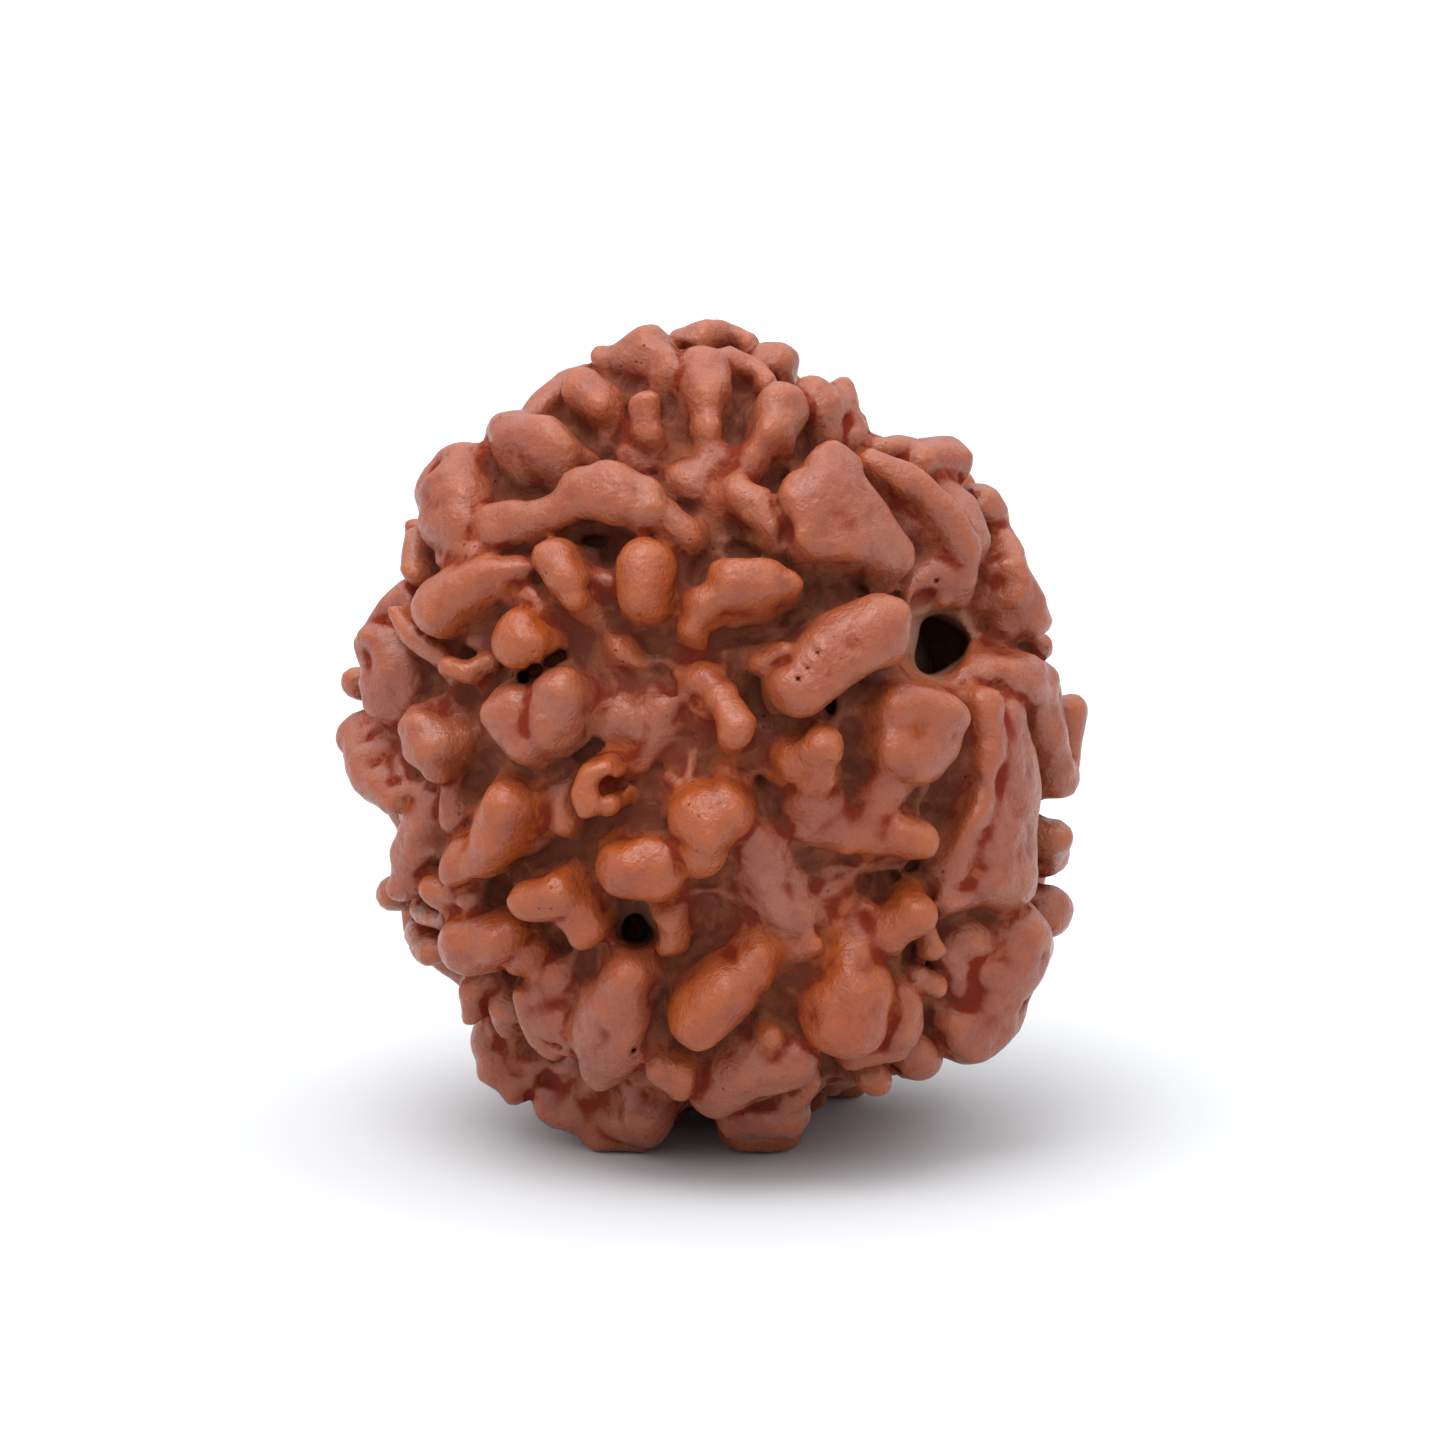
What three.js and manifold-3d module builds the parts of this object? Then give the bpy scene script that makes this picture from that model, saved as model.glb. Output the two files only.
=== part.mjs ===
// A rudraksha seed: the hard stone of the blue marble fruit, one solid piece.
// An egg-shaped stone, a little wider below, is covered all over with blunt knobs,
// plates and ridges that stand on its uneven floor and run into each other.
//
// Frame: millimetres, +Z up, the front faces -Y. The origin is on the surface that the
// seed stands on, under the middle of its outline.
//
// The front is laid out as a drawing seen by an eye a little above the seed: a knob is
// a chain of lumps, and a lump is [right, up, radius, lift]. Right and up are millimetres
// from the middle of the drawing. Lift is how far its top stands above the stone's floor.
// The rest of the stone is covered by a seeded rule, with the knobs of the front as its
// stock of shapes.

import * as THREE from "three";
import { mergeVertices } from "three/addons/utils/BufferGeometryUtils.js";
import Module from "manifold-3d";

// Driving dimensions, in millimetres and degrees.
const MIDDLE_HEIGHT = 13.5; // the drawing's middle above the surface
const EYE_DISTANCE = 360;
const EYE_ELEVATION = 12;
const FLOOR_BLEND = 2.5; // how softly the two bodies of the floor run together
const FLOOR_BODIES = [
  // centre, half sizes, lean of the long axis to the left
  { at: [-0.1, 0, 0.6], half: [9.75, 9.75, 11.05], lean: 5 },
  { at: [1.2, 0, -5.9], half: [8.2, 8.2, 5.2], lean: 0 },
];
const FLOOR_LIFT = 0.4; // how far the floor's own surface stands above those bodies
const LIFT_SCALE = 1.14; // all lifts below are times this
const KNOB_BLEND = 0.28; // fillet where two knobs meet
const ROOT_BLEND = 1.4; // fillet where a knob meets the floor
const DRAFT = [-0.02, 0.2]; // how much wider a knob gets for each millimetre down, least and most
const DRAFT_FROM = 0.8; // how far below its top a knob starts to widen
const CROWN = 0.22; // how much a knob's top falls off towards its rim
const TILT = 0.14; // the most that a knob's top slopes
const RIM_SCALE = 1.4; // all rims below are times this
const SUNK = 0.8; // how much of its rim a drawn knob is anchored below its top
const LEAN = 0.2; // how far the front's knobs lean towards the eye
// Knobs are drawn as seen, so those on the turn to the outline are longer that way than drawn.
const SQUEEZE = 0.7;
const LEAST_FACING = 0.5;
// Size, depth and seed of the waves in the knobs' outlines, of the dents in every surface,
// of the floor's lumps and of its wrinkles, which end at a height above the floor.
const WAVES = [
  { size: 2.4, depth: 0.2, seed: 1 },
  { size: 0.9, depth: 0.07, seed: 4 },
];
const DENTS = [
  { size: 2.1, depth: 0.13, seed: 20 },
  { size: 0.9, depth: 0.11, seed: 21 },
];
const FLOOR_RELIEF = [
  { size: 4.5, depth: 0.45, seed: 40 },
  { size: 1.6, depth: 0.35, seed: 41 },
  { size: 0.8, depth: 0.22, seed: 42 },
];
const WRINKLES = [
  { size: 1.9, depth: 0.34, seed: 30 },
  { size: 1.0, depth: 0.2, seed: 31 },
];
const WRINKLED_TO = 1.9;
const WRINKLE_SHARPNESS = 5;
const SMALLEST = 0.45; // the least radius of a knob that the stone keeps here
const SEED = 11;

// Each row is a rim radius, how much the knob widens downwards, and then the chain of lumps.
const FRONT_KNOBS = [
  // Crown
  [0.6, 0.1, [-2.9, 12.9, 0.8, 2.4], [-2.0, 13.1, 0.95, 2.6], [-1.4, 12.6, 0.7, 2.3]],
  [0.3, 0.1, [-3.6, 12.9, 0.5, 2.3]],
  [0.35, 0.1, [-1.1, 13.7, 0.4, 2.3], [-0.2, 13.9, 0.45, 2.5], [0.7, 13.8, 0.4, 2.3],
    [1.3, 13.4, 0.35, 2.1]],
  [0.6, 0.0, [-0.1, 12.8, 1.0, 2.8], [0.05, 11.8, 0.8, 2.6], [0.0, 10.7, 0.55, 2.1],
    [0.0, 9.9, 0.5, 1.6]],
  [0.35, 0.0, [0.9, 13.0, 0.5, 2.5], [1.6, 12.6, 0.5, 2.3], [1.9, 12.1, 0.4, 2.1]],
  [0.5, 0.0, [2.0, 13.05, 0.65, 2.4], [2.35, 12.9, 0.8, 2.4]],
  [0.5, 0.0, [3.5, 11.6, 0.65, 2.4], [4.0, 11.2, 0.8, 2.4], [4.2, 10.7, 0.55, 2.1]],
  [0.35, 0.1, [4.5, 12.0, 0.5, 2.4], [4.75, 11.3, 0.45, 2.2], [5.0, 10.4, 0.5, 1.9],
    [5.4, 9.8, 0.45, 1.6]],
  [0.6, 0.0, [2.4, 11.1, 0.9, 2.9], [2.2, 10.4, 0.75, 2.6], [1.6, 9.6, 0.55, 2.1],
    [1.3, 9.0, 0.45, 1.7]],
  [0.55, 0.1, [-4.2, 11.8, 0.75, 2.5], [-3.6, 11.5, 0.65, 2.3]],
  [0.45, 0.2, [-5.9, 11.0, 0.5, 2.0], [-5.0, 11.9, 0.6, 2.1], [-4.3, 12.45, 0.4, 2.0]],
  [0.5, 0.25, [-2.1, 11.3, 0.6, 2.7], [-2.1, 10.5, 0.6, 2.2], [-2.3, 9.7, 0.6, 1.5]],
  [0.6, 0.05, [-6.7, 10.3, 0.95, 2.7], [-5.5, 10.3, 0.95, 2.9]],
  [0.5, 0.1, [-6.6, 9.5, 0.7, 2.2], [-5.6, 9.6, 0.7, 2.3]],
  [0.7, 0.05, [-7.7, 9.5, 0.7, 2.3], [-8.3, 9.2, 1.15, 2.7], [-8.75, 8.3, 1.5, 2.8], [-8.7, 7.5, 1.3, 2.7],
    [-8.6, 6.9, 0.9, 2.5]],
  // Ridges under the crown
  [0.5, -0.2, [-7.3, 7.3, 0.8, 2.8], [-6.2, 7.4, 0.7, 2.7], [-5.2, 7.7, 0.7, 2.8],
    [-4.3, 8.3, 0.9, 3.0],
    [-3.4, 8.3, 1.1, 3.1], [-2.4, 7.9, 0.95, 2.8], [-1.6, 7.4, 0.7, 2.3], [-0.9, 7.0, 0.5, 1.9]],
  [0.35, 0.2, [1.0, 9.4, 0.5, 1.5], [0.1, 9.3, 0.6, 1.4], [-0.9, 8.8, 0.6, 1.3]],
  [0.4, 0.0, [0.9, 8.5, 0.45, 2.1], [1.5, 8.0, 0.55, 2.3], [2.0, 7.2, 0.45, 2.1],
    [2.4, 6.6, 0.35, 1.7]],
  [0.35, -0.05, [4.2, 9.05, 0.95, 2.8], [4.4, 7.9, 1.35, 2.9], [5.6, 7.1, 1.05, 3.0],
    [6.75, 6.4, 0.85, 2.9]],
  [0.35, -0.05, [3.3, 8.1, 0.95, 2.8], [3.7, 7.0, 0.85, 2.9], [4.9, 6.8, 0.8, 2.9]],
  [0.35, 0.1, [5.5, 9.6, 0.38, 2.3], [6.5, 9.0, 0.38, 2.4], [7.5, 8.2, 0.42, 2.5],
    [8.3, 7.3, 0.45, 2.5],
    [8.7, 6.3, 0.45, 2.3], [8.6, 5.4, 0.45, 1.9]],
  [0.45, 0.2, [7.9, 8.6, 0.6, 2.0], [8.5, 7.8, 0.75, 2.1], [8.6, 6.7, 0.8, 2.0],
    [8.2, 5.8, 0.8, 1.8],
    [8.2, 5.0, 0.7, 1.4]],
  [0.5, 0.1, [7.3, 9.4, 0.6, 2.2], [8.2, 9.35, 0.9, 2.4]],
  [0.3, 0.1, [6.0, 9.85, 0.4, 1.9], [6.8, 9.8, 0.45, 1.9]],
  [0.45, 0.1, [9.45, 7.95, 0.75, 2.3], [9.85, 7.3, 0.65, 2.2]],
  // Right edge, from the shoulder down
  [0.4, 0.1, [10.2, 6.8, 0.6, 2.3], [10.3, 5.8, 0.6, 2.3], [10.7, 4.8, 0.7, 2.3],
    [10.9, 4.0, 0.65, 2.2]],
  [0.35, 0.1, [11.35, 3.1, 0.55, 2.1]],
  [0.5, 0.15, [9.6, 2.2, 0.7, 1.9], [10.6, 2.0, 0.9, 2.3], [11.6, 1.75, 1.0, 2.5],
    [11.6, 0.2, 0.8, 2.4],
    [11.65, -1.1, 0.8, 2.3]],
  [0.35, 0.1, [12.25, 0.9, 0.6, 2.3], [12.15, -0.8, 0.5, 2.2]],
  [0.4, 0.0, [9.4, 1.1, 0.5, 2.2], [9.7, -0.2, 0.45, 2.5], [9.4, -1.6, 0.45, 2.6],
    [9.0, -3.0, 0.45, 2.5],
    [8.6, -4.2, 0.5, 2.2], [8.2, -5.2, 0.6, 2.0]],
  [0.5, 0.1, [10.2, 0.6, 0.8, 2.3], [10.3, -0.9, 1.2, 2.5], [10.3, -2.4, 1.35, 2.5],
    [10.2, -3.7, 1.45, 2.5],
    [10.15, -4.5, 1.25, 2.5]],
  [0.35, 0.1, [8.2, -5.5, 0.5, 2.1], [8.9, -5.4, 0.5, 2.1]],
  [0.45, 0.1, [11.75, -3.3, 0.6, 2.3], [11.85, -4.1, 0.65, 2.3]],
  [0.45, 0.0, [11.85, -6.0, 0.85, 2.4]],
  [0.7, 0.1, [9.2, -6.9, 1.0, 2.2], [11.05, -7.0, 1.35, 3.0], [10.2, -8.2, 1.35, 2.7],
    [9.8, -9.2, 1.3, 2.6],
    [8.9, -10.0, 1.2, 2.5]],
  // Middle, from left to right
  [0.6, 0.0, [-9.2, 4.5, 1.1, 2.8], [-8.5, 5.1, 1.0, 2.8], [-7.4, 5.6, 0.8, 2.7],
    [-6.4, 5.8, 0.55, 2.4]],
  [0.3, 0.1, [-8.9, 6.1, 0.35, 2.1], [-8.0, 6.45, 0.4, 2.2]],
  [0.7, -0.05, [-6.45, 3.3, 1.05, 2.9]],
  [0.4, 0.2, [-6.5, 4.7, 0.45, 1.8], [-5.9, 4.7, 0.55, 1.9], [-5.5, 3.9, 0.45, 1.8]],
  [0.6, 0.1, [-5.1, 6.1, 0.85, 2.8], [-4.8, 5.5, 0.75, 2.8], [-4.5, 4.7, 0.5, 2.4]],
  [0.3, 0.2, [-4.2, 5.4, 0.4, 1.7], [-3.2, 5.3, 0.45, 1.7]],
  [0.65, 0.0, [-2.25, 6.0, 0.9, 2.9], [-2.3, 5.0, 0.8, 2.8]],
  [0.55, 0.0, [-0.6, 3.8, 0.5, 2.2], [-0.1, 4.7, 0.8, 2.6], [0.9, 5.35, 1.1, 2.9],
    [2.0, 5.35, 1.0, 2.9],
    [2.65, 5.3, 0.7, 2.7]],
  [0.45, -0.05, [3.2, 1.65, 1.0, 2.8], [4.4, 2.8, 1.3, 3.0], [5.7, 3.6, 1.35, 3.1]],
  [0.3, 0.15, [1.8, 2.6, 0.35, 1.7], [2.6, 2.9, 0.45, 2.0]],
  [0.4, 0.1, [-0.2, 2.0, 0.6, 1.8], [0.4, 1.3, 0.65, 2.2], [0.9, 0.4, 0.85, 2.6]],
  [0.35, 0.2, [-2.8, 2.9, 0.4, 1.3]],
  [0.3, 0.0, [-3.1, -1.2, 0.3, 2.0], [-3.5, -0.95, 0.35, 2.2], [-4.05, -1.2, 0.4, 2.4],
    [-4.2, -1.8, 0.42, 2.5],
    [-3.9, -2.4, 0.5, 2.6],
    [-3.4, -2.4, 0.45, 2.3]],
  [0.3, 0.1, [-5.2, -2.1, 0.35, 1.6], [-4.95, -2.7, 0.5, 1.7]],
  [0.4, 0.3, [-3.4, 0.5, 0.6, 1.0], [-2.6, 0.8, 0.7, 0.9]],
  [0.4, 0.3, [-1.7, 0.9, 0.7, 0.9]],
  [0.6, 0.05, [-6.75, 0.8, 1.1, 2.6], [-6.3, -0.1, 0.95, 2.5]],
  [0.6, 0.05, [-5.25, 1.35, 1.0, 2.7], [-5.4, 0.5, 1.0, 2.6]],
  [0.3, 0.1, [-8.9, 2.4, 0.35, 2.2], [-8.3, 2.2, 0.35, 2.0], [-7.7, 2.5, 0.35, 1.7]],
  [0.35, 0.1, [-8.1, 3.2, 0.35, 1.6]],
  [0.5, 0.1, [3.0, -0.8, 0.7, 2.4], [4.0, -0.45, 0.75, 2.9], [3.7, -1.3, 0.8, 2.4]],
  [0.6, 0.3, [3.5, -2.0, 0.8, 1.9], [3.9, -2.8, 0.9, 1.7], [4.8, -3.3, 0.7, 1.8]],
  [0.5, 0.05, [4.8, -3.5, 0.55, 1.9], [5.7, -3.2, 0.8, 2.2], [6.6, -3.25, 0.65, 2.6],
    [7.4, -3.45, 0.55, 2.9]],
  [0.4, 0.05, [7.0, 0.75, 1.05, 2.8], [8.0, 0.6, 1.0, 2.9]],
  [0.35, 0.05, [7.9, -0.3, 0.95, 2.9], [7.5, -0.7, 1.0, 2.9], [6.9, -0.5, 1.05, 2.7]],
  [0.5, 0.15, [6.5, -1.4, 0.8, 2.5], [5.8, -2.3, 0.75, 2.2], [5.3, -3.1, 0.65, 2.0]],
  // Left edge, from the shoulder down
  [0.35, 0.1, [-9.9, 6.7, 0.5, 2.1], [-9.95, 5.8, 0.5, 2.1]],
  [0.35, 0.1, [-10.45, 4.85, 0.5, 2.0], [-11.0, 4.15, 0.45, 2.0]],
  [0.5, 0.1, [-11.2, 3.2, 0.9, 2.3], [-11.1, 2.3, 0.95, 2.2], [-11.3, 1.3, 0.8, 2.2]],
  [0.3, 0.1, [-10.7, 4.2, 0.35, 2.4], [-10.2, 3.4, 0.4, 2.3], [-9.3, 2.8, 0.4, 2.0]],
  [0.3, 0.1, [-12.15, 1.9, 0.5, 2.2]],
  [0.45, 0.15, [-12.2, 0.1, 0.8, 2.4], [-11.8, -0.8, 0.75, 2.3], [-11.3, -1.6, 0.6, 2.1],
    [-10.8, -2.2, 0.45, 1.9]],
  [0.6, 0.05, [-10.0, 0.4, 0.9, 2.6], [-9.7, -0.4, 1.0, 2.6], [-9.4, -1.2, 0.65, 2.3]],
  [0.45, 0.25, [-10.0, -2.9, 0.7, 1.9], [-10.2, -4.0, 0.8, 2.1], [-10.2, -4.9, 0.65, 2.2]],
  [0.35, 0.2, [-8.8, -1.7, 0.35, 1.5], [-8.7, -2.8, 0.4, 1.6]],
  [0.6, 0.05, [-7.0, -2.5, 0.9, 2.8], [-7.4, -3.4, 0.95, 2.8], [-7.7, -4.1, 0.8, 2.6]],
  [0.5, 0.05, [-8.5, -4.4, 0.75, 2.4]],
  [0.45, 0.1, [-10.75, -5.4, 0.6, 2.2]],
  [0.4, 0.1, [-9.6, -5.3, 0.55, 2.3], [-8.9, -5.5, 0.5, 2.1], [-8.1, -5.6, 0.4, 1.8]],
  [0.3, 0.2, [-10.1, -6.0, 0.4, 2.0], [-9.2, -6.3, 0.4, 1.9], [-8.2, -6.0, 0.35, 1.7]],
  [0.4, 0.1, [-10.05, -6.8, 0.55, 2.1], [-9.25, -7.4, 0.5, 2.1]],
  // Below the middle
  [0.65, 0.05, [-8.2, -7.0, 0.95, 2.7], [-7.3, -7.1, 0.9, 2.6], [-6.4, -7.5, 0.75, 2.1],
    [-5.6, -8.0, 0.6, 1.7]],
  [0.5, 0.05, [-6.2, -5.6, 0.7, 2.8], [-5.3, -5.3, 0.8, 2.8], [-4.8, -5.8, 0.7, 2.4],
    [-4.4, -6.5, 0.6, 2.2]],
  [0.6, 0.0, [-3.1, -4.5, 0.95, 2.8], [-1.9, -4.6, 1.05, 2.8]],
  [0.6, 0.1, [0.6, -2.5, 0.95, 2.8], [-0.1, -3.0, 1.15, 3.0], [-0.3, -3.9, 0.85, 2.8]],
  [0.6, 0.35, [1.4, -3.4, 1.0, 1.9], [2.1, -4.6, 1.0, 1.5], [2.9, -5.7, 0.9, 1.4]],
  [0.4, 0.15, [-1.5, -6.2, 0.6, 1.9], [-1.35, -6.9, 0.5, 1.7]],
  [0.6, 0.05, [-2.8, -8.3, 0.9, 2.4], [-3.1, -9.5, 1.2, 2.6], [-3.5, -10.6, 1.4, 2.7],
    [-3.9, -11.4, 1.0, 2.5]],
  [0.6, 0.3, [-5.5, -8.7, 1.0, 1.9], [-5.1, -9.6, 1.0, 2.1], [-4.9, -10.2, 0.8, 2.2]],
  [0.35, 0.2, [-6.4, -8.6, 0.4, 1.9], [-6.2, -9.7, 0.4, 2.1], [-5.6, -10.8, 0.45, 2.2]],
  [0.6, 0.0, [-0.2, -9.6, 1.1, 2.9], [0.7, -8.8, 1.0, 2.8], [1.5, -8.0, 0.75, 2.4],
    [1.8, -7.5, 0.5, 2.1]],
  [0.35, 0.1, [2.1, -10.3, 0.45, 2.3]],
  [0.75, 0.0, [4.7, -9.6, 1.4, 3.0], [5.2, -8.7, 1.25, 2.9], [5.0, -7.6, 0.95, 2.4]],
  [0.6, 0.1, [5.2, -7.0, 0.85, 2.1], [6.2, -6.7, 0.8, 2.4], [7.0, -6.1, 0.9, 2.8]],
  [0.35, 0.1, [3.55, -6.95, 0.42, 1.8]],
  [0.45, 0.0, [6.6, -8.8, 0.55, 2.3], [6.7, -9.8, 0.75, 2.5], [6.2, -10.5, 0.7, 2.4],
    [5.0, -10.9, 0.55, 2.1]],
  [0.35, 0.0, [7.6, -6.6, 0.35, 2.0], [7.7, -7.2, 0.45, 2.2]],
  [0.35, 0.0, [7.2, -8.1, 0.4, 1.9], [7.75, -8.5, 0.4, 2.1]],
  [0.4, 0.2, [8.5, -7.5, 0.6, 1.8], [8.6, -8.5, 0.6, 1.8]],
  // Feet and the underside's edge
  [0.6, 0.1, [-6.1, -11.9, 0.65, 2.3], [-5.4, -12.8, 0.95, 2.6], [-3.7, -12.9, 1.0, 2.1],
    [-2.1, -12.7, 1.0, 2.1]],
  [0.35, 0.1, [-8.1, -8.8, 0.42, 2.0], [-7.9, -9.3, 0.4, 1.9]],
  [0.35, 0.2, [-7.0, -9.3, 0.5, 1.8], [-6.9, -9.9, 0.4, 1.7]],
  [0.45, 0.0, [-7.6, -10.7, 0.6, 2.2], [-7.45, -11.3, 0.65, 2.4], [-6.8, -12.1, 0.6, 2.6]],
  [0.6, 0.15, [0.4, -12.1, 1.05, 2.4], [1.5, -11.6, 1.15, 2.5], [2.8, -11.2, 0.95, 2.5]],
  [0.45, 0.05, [-1.6, -11.4, 0.5, 2.4], [-0.9, -11.7, 0.6, 2.5]],
  [0.5, 0.1, [0.9, -13.1, 0.7, 2.2], [2.7, -12.9, 0.75, 2.3]],
  [0.4, 0.1, [3.5, -11.8, 0.5, 2.1], [2.8, -12.3, 0.5, 2.0]],
  [0.45, 0.0, [7.35, -11.15, 0.8, 2.3]],
  [0.4, 0.0, [5.7, -11.85, 0.6, 2.3]],
];
// Knobs that the drawing can't show. A lump here is [x, y, z, radius, lift].
const FEET = [
  [0.45, 0.1, [-3.5, -3.8, -13.3, 1.0, 3.0], [-2.5, -4.2, -13.3, 0.9, 2.85]],
  [0.45, 0.1, [1.3, -4.2, -13.3, 1.0, 2.5], [2.5, -4.0, -13.3, 0.8, 2.5]],
  [0.45, 0.1, [5.0, 4.0, -13.3, 1.0, 3.0]],
  [0.45, 0.1, [-4.3, 3.5, -13.3, 0.9, 3.1], [-3.3, 4.4, -13.3, 0.9, 2.95]],
];
// Deep holes that point at the eye: a lump and how far it goes in.
const PIT_LIP = 0.7;
const PIT_RISE = 3; // how far above its mouth a hole clears the stone
const PITS = [
  { mouth: [7.55, 2.7, 0.6, 0.3], depth: 4.5 },
  { mouth: [7.6, 3.6, 0.55, 0.3], depth: 4.0 },
  { mouth: [8.2, 3.1, 0.5, 0.3], depth: 3.0 },
  { mouth: [-2.45, -6.55, 0.45, 0.3], depth: 2.6 },
];
// Places where the floor is sunk, or raised below zero: right, up, radius, depth.
const HOLLOWS = [
  [-5.8, 8.9, 1.0, 2.2], [-3.6, 6.7, 0.9, 1.0], [-6.0, 6.9, 0.6, 1.2], [-6.3, 2.2, 0.5, 2.2],
  [-5.2, 2.7, 0.6, 1.9], [0.8, 10.7, 0.5, 1.6], [-1.0, 11.1, 0.4, 1.4], [3.2, 9.8, 0.6, 1.6],
  [2.3, 8.4, 0.5, 1.4], [4.8, 5.4, 1.0, 1.2], [1.5, 3.6, 0.8, 1.2], [3.0, 4.2, 0.6, 1.2],
  [2.5, 0.3, 0.9, 1.7], [4.1, 1.0, 0.8, 1.7], [5.4, 1.5, 0.7, 1.4], [1.0, -1.0, 0.6, 1.2],
  [5.2, -1.0, 0.6, 1.2], [7.7, -2.2, 0.9, 2.2], [6.4, -4.6, 1.0, 1.4], [-4.2, -4.0, 0.5, 1.2],
  [-5.5, -4.2, 0.6, 1.0], [-7.5, -5.5, 0.6, 0.8], [-1.3, -10.5, 0.8, 2.2], [-1.4, -8.6, 0.7, 1.5],
  [-5.9, -11.2, 0.5, 1.5], [2.8, -9.3, 0.7, 1.5], [7.9, -9.3, 0.7, 2.0], [-7.4, -9.5, 0.4, 1.2],
  [-2.4, -7.0, 0.6, 1.0], [9.3, 6.5, 0.4, 1.0], [-0.8, -13.0, 0.5, 1.2], [7.9, 3.4, 1.1, 1.2],
  [3.4, -2.2, 1.2, -0.7], [0.2, -6.3, 1.6, -1.3], [2.6, -7.4, 1.0, -0.7], [-6.4, -8.9, 1.5, -1.2],
  [-5.2, -9.2, 1.2, -0.9], [1.2, 8.9, 1.0, -0.6], [-10.2, -3.5, 1.2, -0.5], [2.0, -10.9, 0.9, -0.8],
  [4.2, -6.0, 1.0, -0.4], [9.9, 1.6, 1.0, -0.6], [-7.9, -0.9, 0.9, -0.3],
];
// The seed's outline as the eye sees it, right and up. What the rule adds stays inside it.
const OUTLINE = [
  [-0.3, 14.1], [2.8, 13.4], [3.1, 12.2], [4.7, 12.1], [5.4, 10.2], [8.3, 10.1], [9.9, 8.2], [10.7, 6.2],
  [11.3, 4.4],
  [12.0, 2.5], [12.7, 0.8], [12.5, -1.0], [11.5, -2.2], [12.2, -4.0], [12.3, -6.0], [11.9, -7.3],
  [11.0, -8.7], [10.5, -9.9], [9.5, -10.8], [8.0, -11.3], [5.5, -12.2], [4.5, -11.8], [3.4, -13.6],
  [1.5, -14.0], [-3.0, -14.1], [-5.5, -13.6], [-7.4, -12.5], [-8.1, -11.2], [-8.4, -9.4], [-8.7, -8.4],
  [-10.3, -7.4], [-11.2, -5.8], [-10.8, -4.0], [-10.6, -2.7], [-12.0, -2.0], [-12.7, -0.2], [-12.1, 1.2],
  [-12.5, 1.9], [-11.6, 4.0], [-10.6, 5.6], [-10.4, 7.2], [-9.9, 9.0], [-8.8, 9.9], [-7.3, 10.5],
  [-6.0, 11.5], [-4.0, 12.9], [-2.5, 13.8],
];

// Cell and half sizes of the net of points that the surface is read from, and the
// triangles to keep.
const CELL = 0.45;
const NET_REACH = [14.5, 14.5, 15.5];
const TRIANGLES = 11500;
const KNOB_MARGIN = 3; // how far round its lumps a knob is worked out
const KNOB_HEIGHTS = [-3, 5]; // the heights over the floor between which knobs are worked out
const FAR = 9; // a distance that no knob reaches

const vec = (a) => new THREE.Vector3(...a);
const lerp = THREE.MathUtils.lerp;
const clamp = THREE.MathUtils.clamp;
const radians = THREE.MathUtils.degToRad;
const UP_ANGLE = radians(EYE_ELEVATION);
const TOWARDS_EYE = vec([0, -Math.cos(UP_ANGLE), Math.sin(UP_ANGLE)]);
const DRAWING_UP = vec([0, Math.sin(UP_ANGLE), Math.cos(UP_ANGLE)]);

// Joins two distances with a fillet of size k.
function blend(a, b, k) {
  const h = Math.max(k - Math.abs(a - b), 0) / k;
  return Math.min(a, b) - (h * h * k) / 4;
}

// A number from 0 to 1 for each whole-numbered point.
function hash(x, y, z, seed) {
  let h = Math.imul(x, 374761393) + Math.imul(y, 668265263);
  h = (h + Math.imul(z, 1440662683) + Math.imul(seed, 1274126177)) | 0;
  h = Math.imul(h ^ (h >>> 13), 1274126177);
  return ((h ^ (h >>> 16)) >>> 0) / 4294967296;
}

// Smooth noise from -1 to 1 that wanders over about one unit.
function noise(x, y, z, seed) {
  const [ix, iy, iz] = [Math.floor(x), Math.floor(y), Math.floor(z)];
  const [fx, fy, fz] = [x - ix, y - iy, z - iz].map((f) => f * f * (3 - 2 * f));
  const along = (dy, dz) => lerp(hash(ix, iy + dy, iz + dz, seed), hash(ix + 1, iy + dy, iz + dz, seed), fx);
  return 2 * lerp(lerp(along(0, 0), along(1, 0), fy), lerp(along(0, 1), along(1, 1), fy), fz) - 1;
}

function noiseAt([x, y, z], size, seed) {
  return noise(x / size, y / size, z / size, seed);
}

// A seeded row of numbers from 0 to 1.
function randomRow(seed) {
  let count = 0;
  return () => hash(count++, seed, 7, seed);
}

// Height of a point above the stone's floor, from the middle of the drawing.
function floorHeight(x, y, z) {
  let height = Infinity;
  for (const { at, half, lean } of FLOOR_BODIES) {
    const [c, s] = [Math.cos(radians(lean)), Math.sin(radians(lean))];
    const [dx, dy, dz] = [x - at[0], y - at[1], z - at[2]];
    const [px, py, pz] = [c * dx + s * dz, dy, -s * dx + c * dz];
    const k0 = Math.hypot(px / half[0], py / half[1], pz / half[2]);
    const k1 = Math.hypot(px / half[0] ** 2, py / half[1] ** 2, pz / half[2] ** 2);
    const d = (k0 * (k0 - 1)) / Math.max(k1, 1e-6);
    height = height === Infinity ? d : blend(height, d, FLOOR_BLEND);
  }
  return height;
}

function floorNormal(p) {
  const e = 0.01;
  const h = floorHeight;
  return new THREE.Vector3(
    h(p.x + e, p.y, p.z) - h(p.x - e, p.y, p.z),
    h(p.x, p.y + e, p.z) - h(p.x, p.y - e, p.z),
    h(p.x, p.y, p.z + e) - h(p.x, p.y, p.z - e),
  ).normalize();
}

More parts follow.
